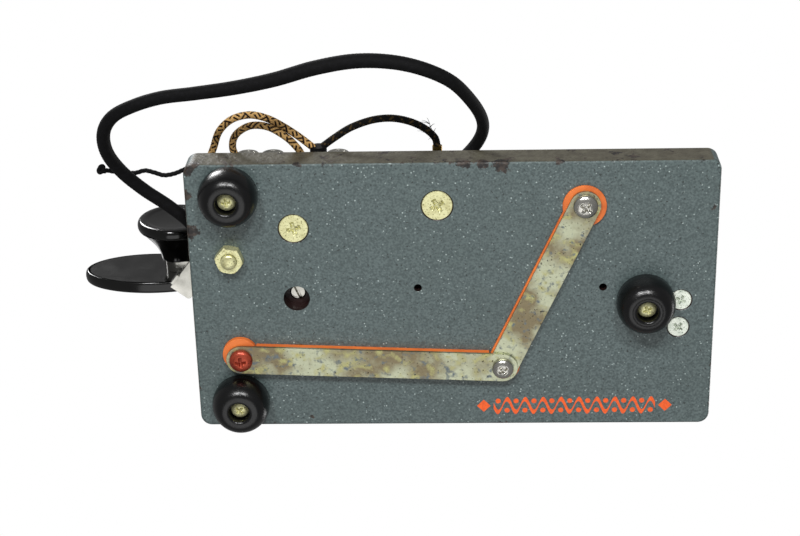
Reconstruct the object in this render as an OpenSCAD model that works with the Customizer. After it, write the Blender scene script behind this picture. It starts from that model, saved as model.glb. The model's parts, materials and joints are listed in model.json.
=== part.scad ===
// Semi-automatic morse key: a weighted steel base with a sprung lever, a vibrating pendulum and its posts.
// Millimetres, +Z up, the key standing on its rubber feet. +X points to the damper end, +Y to the
// operator's left. Places inside place() are measured from the middle of the base.

/* [Base] */
// Length of the steel base
base_l = 165; // [150:1:190]
// Width of the steel base
base_w = 91; // [84:1:105]
// Thickness of the steel base
base_t = 11; // [9:0.5:14]
// Radius of the base's plan corners
base_corner_r = 3.5; // [1:0.5:8]

/* [Feet] */
// Height of each rubber foot
foot_h = 10; // [8:0.5:12]
// Radius of each rubber foot at its widest
foot_r = 9.3; // [8:0.1:11]
// Distance of the two front feet from the middle of the base
foot_front_x = 68.6; // [60:0.2:72]
// Half the distance between the two front feet
foot_front_y = 35.9; // [30:0.1:36]
// Distance of the rear foot from the middle of the base
foot_rear_x = 60.6; // [50:0.2:66]

/* [Lever] */
// Height of the lever's centre line above the base
lever_rise = 24; // [20:0.5:29]
// Distance of the trunnion in front of the middle of the base
trunnion_x = 49.2; // [45:0.2:52]
// Radius of the trunnion screws' thread
trunnion_screw_r = 2.5; // [2:0.1:3.5]
// Radius of the trunnion screws' pivot tips
pivot_r = 1.2; // [1:0.1:1.6]
// Running clearance on each radius of a turning or sliding fit
running_fit = 0.05; // [0.02:0.01:0.1]
// Clearance on each radius of a screw in its hole
screw_fit = 0.1; // [0.05:0.01:0.2]

/* [Knob and paddle] */
// Radius of the finger knob's disc
knob_r = 12.5; // [10:0.5:14]
// Length of the thumb paddle
paddle_l = 46; // [38:1:52]
// Height of the thumb paddle
paddle_h = 25; // [20:1:28]
// Thickness of the thumb paddle
paddle_t = 3.8; // [2.5:0.1:5]

/* [Pendulum] */
// Radius of the pendulum rod
rod_r = 2; // [1.5:0.1:2.5]
// Radius of the sliding weight
weight_r = 10; // [8:0.5:12]
// Length of the sliding weight
weight_l = 24; // [16:1:28]
// Radius of the damper wheel
wheel_r = 5; // [4:0.2:6]

/* [Contacts] */
// Radius of the contact posts
post_r = 4.5; // [4:0.1:5]
// Radius of the adjusting screws' thread
adjust_r = 1.75; // [1.4:0.05:2]
// Radius of the adjusting screws' knurled heads
adjust_head_r = 3.9; // [3:0.1:4]
// Gap of the dash contact
dash_gap = 0.24; // [0.22:0.01:0.6]
// Gap of the dot contact, over the pendulum's whole swing
dot_gap = 2.6; // [2.5:0.1:3.2]

/* [Circuit closer] */
// Length of the closer's arm from its pivot
closer_l = 28; // [22:0.5:28]
// Width of the closer's arm
closer_w = 7.5; // [6:0.5:8]
// Height of the insulating bushing under the arm
closer_rise = 6.2; // [5.5:0.1:8]

/* [Connections] */
// Width of the steel straps under the base
strap_w = 9.6; // [8:0.2:11]
// Thickness of the steel straps
strap_t = 1; // [0.6:0.1:1.2]
// Radius of the binding posts' bodies
binding_r = 4.75; // [4:0.25:5.5]
// Height of the binding posts' bodies
binding_h = 9; // [7:0.5:12]

/* [Cord] */
// Diameter of the woven cord's jacket
cord_d = 4.2; // [3.6:0.1:4.2]
// Diameter of each braided conductor
conductor_d = 2.3; // [1.8:0.1:2.3]
// Diameter of the strain string
string_d = 1.5; // [1:0.1:1.5]

/* [Hidden] */
$fn = 48;

// Levels above the surface that the key stands on
base_z = foot_h;
top_z = foot_h + base_t;
lever_z = top_z + lever_rise;

// Places on the base, as [x, y] from its middle
trunnion = [-trunnion_x, 0];
yoke_right = [-trunnion_x, -23.9];
yoke_left = [-trunnion_x, 21];
dash_at = [-67.8, 20.4];
dot_at = [15.9, 23.7];
line_at = [41.2, -31.3];
ground_at = [-4.4, -31.2];
closer_at = [-69.6, -14.4];
damper_at = [71.5, 1.5];
damper_screws_at = [[71.8, 1.5], [71.3, 10.9]];
plain_holes_at = [[-10.8, -3.4], [47.3, -3.2]];
feet_at = [[-foot_front_x, -foot_front_y], [-foot_front_x, foot_front_y], [foot_rear_x, 1.3]];

// Lever: a flat bar in front of a block on the trunnion
bar_y0 = 0.5;
bar_y1 = 4.5;
bar_h = 8;
knob_x = -92;
block_front = 5.7;
block_h = 12;
block_half_w = 6;
tongue_x0 = trunnion[0] + 9.2;
tongue_l = 10;
tongue_half_w = 3;
paddle_x = -100.5;
rivet_t = 0.6;
pivot_depth = 2.2;
shoulder_gap = 0.4;

// Leaf spring and hub; the leaf bends about flexure_x
leaf_t = 0.4;
leaf_h = 7;
leaf_x0 = tongue_x0 + 2;
leaf_l = 22;
hub_x0 = tongue_x0 + tongue_l + 8;
hub_l = 14;
hub_r = 4.5;
hub_slot = 1;
hub_slot_l = 7;
rod_x1 = 77;
weight_x = 48;
collar_x = 8;
collar_r = 5;
strip_t = 0.4;

// Adjusting screws: their places along the lever and the gaps at their tips
front_stop_x = -66.5;
tension_x = -58.3;
back_stop_x = -37;
front_stop_gap = 0.45;
back_stop_gap = 0.16;
arm_y0 = -26;
arm_y1 = -20;
head_t = 5;
locknut_t = 2.2;
head_standoff = 3;

// Damper
damper_gap = 1.4;
wheel_t = 5;
wheel_y = -(rod_r + damper_gap + wheel_r);
bracket_w = 10;
bracket_t = 3;
bracket_top = lever_z + 13;

// Insulation and straps, counted down from the underside of the base
washer_r = 6.2;
washer_t = 1;
fibre_t = 0.8;
bushing_r = 4;
strip_shift = [-0.5, -0.2];
dash_washer_at = dash_at + [-0.2, -1.4];
dash_washer_r = 5.7;
line_washer_r = 6.8;
post_screw_r = 2;
right_strap_z = base_z - fibre_t - strap_t;
left_strap_z = right_strap_z - strap_t;

// The origin is under the middle of the key's own outline, paddle included
origin_x = (base_l / 2 + paddle_x - paddle_l / 2) / 2;

// Cord routes from the middle of the base; the cord lies on the table at z = cord radius
CORD = [
    [-41.5, -45, 23.8], [-41.5, -39.4, 23.4], [-40.2, -34, 23.2], [-36.5, -30.3, 23.2], [-31.5, -29, 23.2],
    [-26, -30.2, 23.2], [-19, -33.8, 23.2], [-12, -37.2, 23.2], [-4, -38.6, 23.2], [2.6, -41, 23.4],
    [7.4, -45.8, 23.4], [9.8, -51.6, 20.6],
    [9.4, -58, 15.6], [6, -65.5, 10], [0.5, -72.8, 5], [-7.5, -77.6, 2.4], [-17, -80, 2.2],
    [-28, -80.4, 2.2], [-40, -78.4, 2.2], [-52, -75, 2.2], [-64, -72.6, 2.2], [-76, -71, 2.2],
    [-86, -69.8, 2.2], [-94.5, -67.2, 2.6], [-101.5, -63, 5], [-105.5, -56.5, 9], [-106, -48.5, 13.6],
    [-103, -40.5, 18.2], [-97, -33, 21.4], [-89.5, -26.5, 23], [-83.5, -20.5, 23.4], [-80, -13, 23.3],
    [-79.2, 2, 23.2], [-79, 19, 23.2], [-76.5, 28.5, 23.2], [-70.5, 35.5, 23.2],
    [-61, 38.6, 23.2], [-49, 39, 23.2], [-20, 38.6, 23.2], [10, 38, 23.6]
];
GOLD = [
    [-42.8, -45.4, 23.8], [-47.3, -49.4, 23.4], [-52.2, -53, 23.2], [-57, -55.8, 22.8], [-62.4, -57, 22.8],
    [-68, -55.6, 22.8], [-72.2, -51.6, 23.2], [-74.4, -46, 23.8], [-76.4, -41, 24], [-77.6, -35.8, 23.2],
    [-76.4, -31.4, 22.4], [-73.4, -29, 22.3], [-69.6, -29, 22.3], [-66.8, -31.6, 22.4], [-66, -36.2, 23.2],
    [-67, -41.4, 24], [-68.4, -46, 23.8], [-67, -50.6, 22.6], [-62.4, -53.8, 21.6], [-57, -53.6, 21.4],
    [-52.2, -50.8, 21.6], [-48.8, -47.2, 22.4], [-46.6, -42.4, 24.2], [-45.4, -35.6, 22.8],
    [-41.6, -28, 22.3],
    [-33, -24.2, 22.3], [-22, -23.4, 22.3], [-8, -22.2, 22.3], [3, -21.8, 22.3], [14, -23, 23],
    [22, -26.6, 26.4], [26.6, -30, 30], [29.6, -31.2, 31.8]
];
BLACK = [
    [-4.4, -43.2, 30.8], [-5.2, -46.2, 30.6], [-8.4, -49.8, 29.2], [-13, -52.7, 27.4], [-18.5, -54.3, 26],
    [-24.5, -54.1, 25], [-31, -52, 24.4], [-36, -49, 24], [-40.3, -45.9, 23.8]
];
STRING = [
    [-43.8, -43.2, 21.9], [-50, -42.4, 21.8], [-60, -42.2, 21.8], [-72, -42, 21.8], [-79.6, -41.2, 21.8],
    [-83.6, -39.6, 21.8], [-87, -38.2, 21.8], [-90.4, -37.6, 22], [-93.4, -38.4, 22.3], [-96.4, -39, 22.6],
    [-99.6, -38.2, 22.7], [-103.8, -38.4, 22.4], [-106.6, -39.2, 21.7], [-108.6, -40, 20.8]
];

function unit(v) = v / norm(v);
function direction(p, i) =
    i == 0 ? unit(p[1] - p[0])
    : i == len(p) - 1 ? unit(p[i] - p[i - 1])
    : unit(p[i + 1] - p[i - 1]);
function ring(p, i, r, sides, up) =
    let (along = direction(p, i), side = unit(cross(along, up)), over = cross(side, along))
    [for (k = [0 : sides - 1]) p[i] + r * (cos(360 * k / sides) * side + sin(360 * k / sides) * over)];

// A tube of radius r swept through the points p
module tube(p, r, sides = 8, up = [0, 0, 1]) {
    last = (len(p) - 1) * sides;
    polyhedron(
        points = [for (i = [0 : len(p) - 1]) each ring(p, i, r, sides, up)],
        faces = concat(
            [[for (k = [0 : sides - 1]) k]],
            [for (i = [0 : len(p) - 2]) for (k = [0 : sides - 1])
                let (a = i * sides + k, b = i * sides + (k + 1) % sides)
                each [[a, a + sides, b + sides], [a, b + sides, b]]],
            [[for (k = [sides - 1 : -1 : 0]) last + k]]
        )
    );
}

module place() { translate([-origin_x, 0, 0]) children(); }
module at(xy, z = 0) { translate([xy[0], xy[1], z]) children(); }

// Cylinders along each axis, between two places on it
module z_rod(r, z0, z1) { translate([0, 0, z0]) cylinder(r = r, h = z1 - z0); }
module y_rod(r, y0, y1) { translate([0, y0, 0]) rotate([-90, 0, 0]) cylinder(r = r, h = y1 - y0); }
module x_rod(r, x0, x1) { translate([x0, 0, 0]) rotate([0, 90, 0]) cylinder(r = r, h = x1 - x0); }
module box(x0, x1, y0, y1, z0, z1) { translate([x0, y0, z0]) cube([x1 - x0, y1 - y0, z1 - z0]); }

// A plate with round corners, centred on the axis
module round_plate(l, w, r, z0, z1) {
    box(-l / 2 + r, l / 2 - r, -w / 2, w / 2, z0, z1);
    box(-l / 2, l / 2, -w / 2 + r, w / 2 - r, z0, z1);
    for (sx = [-1, 1], sy = [-1, 1])
        translate([sx * (l / 2 - r), sy * (w / 2 - r), 0]) z_rod(r, z0, z1);
}

// A flat link with round ends between two places
module link(a, b, w, z0, z1) {
    step = b - a;
    half_turn = [for (k = [0 : 12]) w / 2 * [sin(15 * k), -cos(15 * k)]];
    at(a, z0) rotate([0, 0, atan2(step[1], step[0])]) linear_extrude(z1 - z0)
        polygon(concat([for (p = half_turn) p + [norm(step), 0]], [for (p = half_turn) -p]));
}

// The cross recess of a screw head that faces down at height z
module cross_recess(r, z, deep) {
    for (turn = [0, 90])
        rotate([0, 0, turn]) box(-r * 0.62, r * 0.62, -r * 0.13, r * 0.13, z - 1, z + deep);
}

// A countersunk screw, its flat head flush with height z, going up to z1
module flush_screw(head_r, r, z, z1, turn = 0) {
    difference() {
        union() {
            translate([0, 0, z]) cylinder(r1 = head_r, r2 = r, h = head_r - r);
            z_rod(r, z, z1);
        }
        rotate([0, 0, turn]) cross_recess(head_r, z, 1.2);
    }
}
module flush_hole(head_r, r, z, z1) {
    translate([0, 0, z - 0.01])
        cylinder(r1 = head_r + mouth_fit, r2 = r + screw_fit, h = head_r - r + 0.01);
    z_rod(r + screw_fit, z - 1, z1);
}

// A domed screw whose head hangs below height z, going up to z1
module pan_screw(head_r, head_h, r, z, z1, turn = 0) {
    difference() {
        union() {
            rotate_extrude() polygon([
                [0, z - head_h], [head_r * 0.5, z - head_h], [head_r * 0.82, z - head_h * 0.8],
                [head_r, z - head_h * 0.35], [head_r, z], [0, z]
            ]);
            z_rod(r, z, z1);
        }
        rotate([0, 0, turn]) cross_recess(head_r, z - head_h, head_h * 0.6);
    }
}

// A knurled head or nut along Z, its rims eased
module knurled(r, h) {
    rotate_extrude() polygon([[0, 0], [r - 0.5, 0], [r, 0.5], [r, h - 0.5], [r - 0.5, h], [0, h]]);
}

// An adjusting screw along Y: its tip at y_tip, its head beyond y_seat on the outer side
module adjuster(y_tip, y_seat) {
    out = sign(y_seat - y_tip);
    head = y_seat + out * (locknut_t + head_standoff);
    y_rod(adjust_r, min(y_tip, head), max(y_tip, head));
    translate([0, head, 0]) rotate([-90 * out, 0, 0]) knurled(adjust_head_r, head_t);
}

module base() {
    color([0.35, 0.41, 0.4]) difference() {
        round_plate(base_l, base_w, base_corner_r, base_z, top_z);
        for (p = feet_at) at(p) z_rod(foot_screw_r + screw_fit, base_z - 1, base_z + foot_screw_deep);
        at(trunnion) {
            z_rod(4.2, base_z - 1, base_z + counterbore_deep);
            z_rod(trunnion_screw_r + screw_fit, base_z - 1, top_z + 1);
        }
        at(yoke_right) flush_hole(yoke_head_r, yoke_screw_r, base_z, top_z + 1);
        at(yoke_left) flush_hole(yoke_head_r, yoke_screw_r, base_z, top_z + 1);
        at(ground_at) flush_hole(ground_head_r, post_screw_r, base_z, top_z + 1);
        for (p = damper_screws_at) at(p) flush_hole(damper_head_r, damper_screw_r, base_z, top_z + 1);
        for (p = [dash_at, dot_at, line_at]) at(p) z_rod(bushing_r + screw_fit, base_z - 1, top_z + 1);
        at(closer_at) z_rod(closer_bolt_r + screw_fit, base_z - 1, top_z + 1);
        for (p = plain_holes_at) at(p) z_rod(1.25, base_z - 1, base_z + 6);
    }
}
foot_screw_r = 1.7;
foot_screw_deep = base_t - 3;
mouth_fit = 0.35;
counterbore_deep = 5;
yoke_head_r = 4.6;
yoke_screw_r = 2.3;
ground_head_r = 4.8;
damper_head_r = 3.35;
damper_screw_r = 1.7;
closer_bolt_r = 2.5;

// Feet: rubber domes, a quarter ellipse in profile, with a recess for the screw's head
recess_r = 3.3;
foot_head_r = 3;
foot_head_z = 4.2;
foot_flat_r = 4.9;
foot_dome_h = foot_h * 0.68;
module foot() {
    dome = [for (a = [0 : 15 : 90])
        [foot_flat_r + (foot_r - foot_flat_r) * cos(a), foot_dome_h * (1 - sin(a))]];
    color([0.07, 0.07, 0.09]) rotate_extrude() polygon(concat(
        [[foot_screw_r + screw_fit, foot_h], [foot_r - 0.9, foot_h], [foot_r - 0.2, foot_h - 0.6]],
        dome,
        [[recess_r + 0.4, 0], [recess_r, 0.4], [recess_r, foot_head_z],
         [foot_screw_r + screw_fit, foot_head_z]]
    ));
}
module front_feet() { for (i = [0, 1]) at(feet_at[i]) foot(); }
module rear_foot() { at(feet_at[2]) foot(); }
module foot_screws() {
    color([0.86, 0.84, 0.6]) for (i = [0 : 2])
        at(feet_at[i])
            pan_screw(foot_head_r, 2.2, foot_screw_r, foot_head_z, base_z + foot_screw_deep - 1, 20 * i);
}

// Yoke: two legs, a bridge over the trunnion and arms for the adjusting screws
yoke_half_l = 5;
yoke_half_w = 4;
bridge_z = lever_z + 11;
bridge_t = 5;
boss_h = 1;
boss_r = 6.5;
module yoke() {
    color([0.8, 0.82, 0.82]) difference() {
        union() {
            for (p = [yoke_right, yoke_left])
                at(p) box(-yoke_half_l, yoke_half_l, -yoke_half_w, yoke_half_w, top_z, bridge_z + bridge_t);
            at(trunnion) {
                box(-yoke_half_l, yoke_half_l, yoke_right[1] - yoke_half_w, yoke_left[1] + yoke_half_w,
                    bridge_z, bridge_z + bridge_t);
                z_rod(boss_r, bridge_z, bridge_z + bridge_t + boss_h);
            }
            box(front_stop_x - 4, trunnion[0] - yoke_half_l + 1, arm_y0, arm_y1, lever_z - 3.5,
                lever_z + 3.5);
            box(trunnion[0] + yoke_half_l - 1, back_stop_x + 4, arm_y0, arm_y1, lever_z - 3.5,
                lever_z + 3.5);
        }
        at(trunnion) z_rod(trunnion_screw_r + screw_fit, bridge_z - 1, bridge_z + bridge_t + boss_h + 1);
        at(yoke_right) z_rod(yoke_screw_r + screw_fit, top_z - 1, top_z + 11);
        at(yoke_left) z_rod(yoke_screw_r + screw_fit, top_z - 1, top_z + 11);
        for (x = [front_stop_x, tension_x, back_stop_x])
            at([x, 0], lever_z) y_rod(adjust_r + running_fit, arm_y0 - 1, arm_y1 + 1);
    }
}
module yoke_screws() {
    color([0.86, 0.84, 0.6]) {
        at(yoke_right) flush_screw(yoke_head_r, yoke_screw_r, base_z, top_z + 10, 15);
        at(yoke_left) flush_screw(yoke_head_r, yoke_screw_r, base_z, top_z + 10, 40);
    }
}

// Trunnion screws: threaded rods with a thin pivot tip that enters the lever's block
block_z0 = lever_z - block_h / 2;
block_z1 = lever_z + block_h / 2;
module lower_trunnion_screw() {
    color([0.78, 0.78, 0.74]) at(trunnion) difference() {
        union() {
            z_rod(trunnion_screw_r, base_z + counterbore_deep, block_z0 - shoulder_gap);
            z_rod(pivot_r, base_z + counterbore_deep, block_z0 + pivot_depth - 0.3);
        }
        rotate([0, 0, 67]) box(-4, 4, -0.45, 0.45, base_z, base_z + counterbore_deep + 1.2);
    }
}
module upper_trunnion_screw() {
    color([0.85, 0.86, 0.86]) at(trunnion) {
        z_rod(trunnion_screw_r, block_z1 + shoulder_gap, bridge_z + bridge_t + boss_h + 4);
        z_rod(pivot_r, block_z1 - pivot_depth + 0.3, bridge_z);
        translate([0, 0, bridge_z + bridge_t + boss_h + 3]) knurled(4.6, 4);
    }
}
module trunnion_locknut() {
    color([0.85, 0.86, 0.86]) at(trunnion) difference() {
        z_rod(5, bridge_z + bridge_t + boss_h, bridge_z + bridge_t + boss_h + 2.2);
        z_rod(trunnion_screw_r + screw_fit, bridge_z, top_z + 60);
    }
}

module main_lever() {
    color([0.84, 0.85, 0.85]) difference() {
        union() {
            box(knob_x, trunnion[0] - block_front + 1, bar_y0, bar_y1, lever_z - bar_h / 2,
                lever_z + bar_h / 2);
            at([knob_x, 0], lever_z) y_rod(bar_h / 2, bar_y0, bar_y1);
            box(trunnion[0] - block_front, tongue_x0, -block_half_w, block_half_w, block_z0, block_z1);
            box(tongue_x0 - 1, tongue_x0 + tongue_l, -tongue_half_w, tongue_half_w,
                lever_z - bar_h / 2, lever_z + bar_h / 2);
            at([dash_at[0], 0], lever_z) y_rod(1.6, bar_y1 - 0.5, bar_y1 + rivet_t);
        }
        at([knob_x, 0], lever_z) y_rod(paddle_screw_r + screw_fit, bar_y0 - 1, bar_y1 + 1);
        at(trunnion) {
            z_rod(pivot_r + running_fit, block_z0 - 1, block_z0 + pivot_depth);
            z_rod(pivot_r + running_fit, block_z1 - pivot_depth, block_z1 + 1);
        }
        box(leaf_x0, tongue_x0 + tongue_l + 1, -leaf_t / 2, leaf_t / 2, lever_z - bar_h, lever_z + bar_h);
        at([leaf_screw_x, 0], lever_z) y_rod(leaf_screw_r + screw_fit, -block_half_w, block_half_w);
    }
}
paddle_screw_r = 1.5;
leaf_screw_x = leaf_x0 + 4;
leaf_screw_r = 1.25;

// Finger knob: a disc with a soft rim on a trumpet neck, turned about Y
knob_face = 14.4;
module finger_knob() {
    color([0.1, 0.1, 0.1]) at([knob_x, bar_y0], lever_z) rotate([90, 0, 0]) difference() {
        rotate_extrude() polygon([
            [0, 0], [5.2, 0], [5.6, 1.8], [6.5, 4], [8, 6.8], [9.8, 9.2], [knob_r - 1.2, knob_face - 3.6],
            [knob_r - 0.3, knob_face - 2.9], [knob_r, knob_face - 1.8], [knob_r - 0.3, knob_face - 0.7],
            [knob_r - 1.3, knob_face], [0, knob_face]
        ]);
        z_rod(paddle_screw_r + screw_fit, -1, 7);
    }
}

function oval(l, h, n = 48) = [for (k = [0 : n - 1]) [l / 2 * cos(360 * k / n), h / 2 * sin(360 * k / n)]];
module thumb_paddle() {
    ease = 0.9;
    color([0.1, 0.1, 0.1]) difference() {
        at([paddle_x, bar_y1], lever_z) rotate([-90, 0, 0]) hull() {
            linear_extrude(paddle_t) polygon(oval(paddle_l - 2 * ease, paddle_h - 2 * ease));
            translate([0, 0, ease]) linear_extrude(paddle_t - 2 * ease) polygon(oval(paddle_l, paddle_h));
        }
        at([knob_x, 0], lever_z) y_rod(paddle_screw_r + screw_fit, bar_y1 - 1, bar_y1 + paddle_t + 1);
    }
}
module paddle_screw() {
    head_y = bar_y1 + paddle_t;
    color([0.8, 0.8, 0.78]) at([knob_x, 0], lever_z) difference() {
        union() {
            y_rod(paddle_screw_r, bar_y0 - 6, head_y);
            y_rod(3, head_y, head_y + 1.6);
        }
        box(-4, 4, head_y + 0.7, head_y + 3, -0.4, 0.4);
    }
}
module pendulum_spring() {
    color([0.6, 0.62, 0.66]) difference() {
        box(leaf_x0, leaf_x0 + leaf_l, -leaf_t / 2, leaf_t / 2, lever_z - leaf_h / 2, lever_z + leaf_h / 2);
        at([leaf_screw_x, 0], lever_z) y_rod(leaf_screw_r + screw_fit, -1, 1);
    }
}
module leaf_screw() {
    color([0.85, 0.86, 0.86]) at([leaf_screw_x, 0], lever_z) difference() {
        union() {
            y_rod(leaf_screw_r, -tongue_half_w, tongue_half_w);
            y_rod(2.4, tongue_half_w, tongue_half_w + 1.5);
        }
        box(-3, 3, tongue_half_w + 0.8, tongue_half_w + 3, -0.35, 0.35);
    }
}

module pendulum_hub() {
    color([0.84, 0.85, 0.85]) translate([0, 0, lever_z]) difference() {
        x_rod(hub_r, hub_x0, hub_x0 + hub_l);
        box(hub_x0 - 1, hub_x0 + hub_slot_l, -hub_slot / 2, hub_slot / 2, -hub_r - 1, hub_r + 1);
        x_rod(rod_r + running_fit, hub_x0 + hub_slot_l + 1, hub_x0 + hub_l + 1);
    }
}
module pendulum_rod() {
    color([0.87, 0.88, 0.88]) translate([0, 0, lever_z]) x_rod(rod_r, hub_x0 + hub_slot_l + 1, rod_x1);
}
module dot_spring() {
    strip_y = collar_r - strip_t;
    color([0.8, 0.8, 0.76]) difference() {
        translate([0, 0, lever_z]) union() {
            x_rod(collar_r, collar_x - 4, collar_x + 4);
            box(collar_x, dot_at[0] + 3, strip_y, strip_y + strip_t, -2, 2);
            at([dot_at[0], 0]) y_rod(1.4, strip_y, strip_y + strip_t + rivet_t);
        }
        translate([0, 0, lever_z]) x_rod(rod_r + running_fit, collar_x - 5, collar_x + 5);
    }
}
module pendulum_weight() {
    color([0.82, 0.83, 0.83]) translate([weight_x - weight_l / 2, 0, lever_z]) rotate([0, 90, 0])
        difference() {
        rotate_extrude() polygon([
            [rod_r + running_fit, 0], [weight_r - 0.8, 0], [weight_r, 0.8], [weight_r, weight_l - 0.8],
            [weight_r - 0.8, weight_l], [rod_r + running_fit, weight_l]
        ]);
        translate([0, 0, weight_l / 2]) rotate([0, -90, 0])
            z_rod(weight_screw_r + screw_fit, 0, weight_r + 1);
    }
}
weight_screw_r = 1.5;
module weight_thumbscrew() {
    color([0.82, 0.83, 0.83]) at([weight_x, 0], lever_z) {
        z_rod(weight_screw_r, rod_r + 0.1, weight_r + 2);
        translate([0, 0, weight_r + 1]) knurled(3.6, 5);
    }
}

// Contact posts: upright rods with a cross hole for the adjusting screw
module post(flange) {
    seat = top_z + washer_t;
    difference() {
        union() {
            z_rod(post_r, seat, lever_z + 5);
            translate([0, 0, lever_z + 5]) cylinder(r1 = post_r, r2 = post_r - 1, h = 1);
            if (flange) z_rod(closer_reach, closer_z - 0.7, closer_z + 2.3);
        }
        z_rod(post_screw_r + screw_fit, seat - 1, seat + 12);
        translate([0, 0, lever_z]) y_rod(adjust_r + running_fit, -post_r - 1, post_r + 1);
    }
}
module dash_post() { color([0.84, 0.85, 0.84]) at(dash_at) post(true); }
module dot_post() { color([0.84, 0.85, 0.84]) at(dot_at) post(false); }
module dash_contact_screw() {
    color([0.84, 0.85, 0.84]) at([dash_at[0], 0], lever_z)
        adjuster(bar_y1 + rivet_t + dash_gap, dash_at[1] + post_r);
}
module dot_contact_screw() {
    color([0.84, 0.85, 0.84]) at([dot_at[0], 0], lever_z)
        adjuster(collar_r + rivet_t + dot_gap, dot_at[1] + post_r);
}
module front_stop_screw() {
    color([0.84, 0.85, 0.84]) at([front_stop_x, 0], lever_z) adjuster(bar_y0 - front_stop_gap, arm_y0);
}
module back_stop_screw() {
    color([0.84, 0.85, 0.84]) at([back_stop_x, 0], lever_z)
        adjuster(-tongue_half_w - back_stop_gap, arm_y0);
}
spring_y0 = -9;
spring_y1 = bar_y0 - 0.4;
module tension_screw() {
    color([0.84, 0.85, 0.84]) at([tension_x, 0], lever_z) {
        adjuster(spring_y0 - 1, arm_y0);
        y_rod(3.2, spring_y0 - 1, spring_y0);
        y_rod(1.3, spring_y0 - 1, spring_y0 + 4);
    }
}
module lever_spring() {
    wire_r = 0.35;
    turns = 6;
    steps = 10;
    y0 = spring_y0 + wire_r;
    pitch = (spring_y1 - wire_r - y0) / turns;
    helix = [for (i = [0 : turns * steps])
        [2.4 * cos(360 * i / steps), y0 + pitch * i / steps, 2.4 * sin(360 * i / steps)]];
    color([0.6, 0.62, 0.64]) at([tension_x, 0], lever_z) tube(helix, wire_r, 6, [0, 1, 0]);
}
module locknut(y_seat, out) {
    translate([0, y_seat, 0]) difference() {
        y_rod(adjust_head_r, min(0, out * locknut_t), max(0, out * locknut_t));
        y_rod(adjust_r + running_fit, -locknut_t - 1, locknut_t + 1);
    }
}
module adjuster_locknuts() {
    color([0.84, 0.85, 0.84]) translate([0, 0, lever_z]) {
        at([dash_at[0], 0]) locknut(dash_at[1] + post_r, 1);
        at([dot_at[0], 0]) locknut(dot_at[1] + post_r, 1);
        for (x = [front_stop_x, tension_x, back_stop_x]) at([x, 0]) locknut(arm_y0, -1);
    }
}

// Damper: a bracket that reaches over the rod and holds a wheel beside it
wheel_bore_r = pivot_r + running_fit;
module damper_bracket() {
    upright_y = damper_at[1] + 11;
    color([0.82, 0.84, 0.84]) difference() {
        at([damper_at[0], 0]) union() {
            box(-bracket_w / 2, bracket_w / 2, -3, upright_y + bracket_t, top_z, top_z + bracket_t);
            box(-bracket_w / 2, bracket_w / 2, upright_y, upright_y + bracket_t, top_z, bracket_top);
            box(-bracket_w / 2, bracket_w / 2, wheel_y - 4.5, upright_y + bracket_t,
                bracket_top - bracket_t, bracket_top);
        }
        for (p = damper_screws_at) at(p)
            z_rod(damper_screw_r + screw_fit, top_z - 1, top_z + bracket_t + 1);
        at([damper_at[0], wheel_y])
            z_rod(pivot_r + screw_fit, bracket_top - bracket_t - 1, bracket_top + 1);
    }
}
module damper_wheel() {
    color([0.75, 0.6, 0.35]) at([damper_at[0], wheel_y], lever_z - wheel_t / 2) rotate_extrude() polygon([
        [wheel_bore_r, 0], [wheel_r - 0.6, 0], [wheel_r, 0.6], [wheel_r, wheel_t - 0.6],
        [wheel_r - 0.6, wheel_t], [wheel_bore_r, wheel_t]
    ]);
}
module damper_pin() {
    color([0.85, 0.86, 0.86]) at([damper_at[0], wheel_y]) {
        z_rod(2.6, lever_z - wheel_t / 2 - 1.8, lever_z - wheel_t / 2 - 0.2);
        z_rod(pivot_r, lever_z - wheel_t / 2 - 0.5, bracket_top + 0.5);
        z_rod(2.6, bracket_top, bracket_top + 2);
    }
}
module damper_screws() {
    color([0.9, 0.92, 0.9]) for (i = [0, 1])
        at(damper_screws_at[i])
            flush_screw(damper_head_r, damper_screw_r, base_z, top_z + bracket_t - 0.4, 70 * i);
}

// Binding posts: a body, a stud and a knurled nut that clamps the conductor's lug
lug_t = 0.8;
stud_r = 2;
stud_l = 12;
nut_h = 8;
nut_r = 5.4;
line_seat = top_z + washer_t;
module binding_post(seat) {
    difference() {
        union() {
            z_rod(binding_r, seat, seat + binding_h);
            z_rod(stud_r, seat + binding_h - 1, seat + binding_h + stud_l);
        }
        z_rod(post_screw_r + screw_fit, seat - 1, seat + binding_h - 2);
    }
}
module thumb_nut() {
    difference() {
        knurled(nut_r, nut_h);
        z_rod(stud_r + running_fit, -1, nut_h + 1);
    }
}
module ground_post() { color([0.8, 0.78, 0.6]) at(ground_at) binding_post(top_z); }
module line_post() { color([0.8, 0.78, 0.6]) at(line_at) binding_post(line_seat); }
module ground_thumb_nut() { color([0.8, 0.78, 0.6]) at(ground_at, top_z + binding_h + lug_t) thumb_nut(); }
module line_thumb_nut() { color([0.8, 0.78, 0.6]) at(line_at, line_seat + binding_h + lug_t) thumb_nut(); }
module ground_post_screw() {
    color([0.86, 0.84, 0.6]) at(ground_at)
        flush_screw(ground_head_r, post_screw_r, base_z, top_z + binding_h - 3, 30);
}

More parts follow.
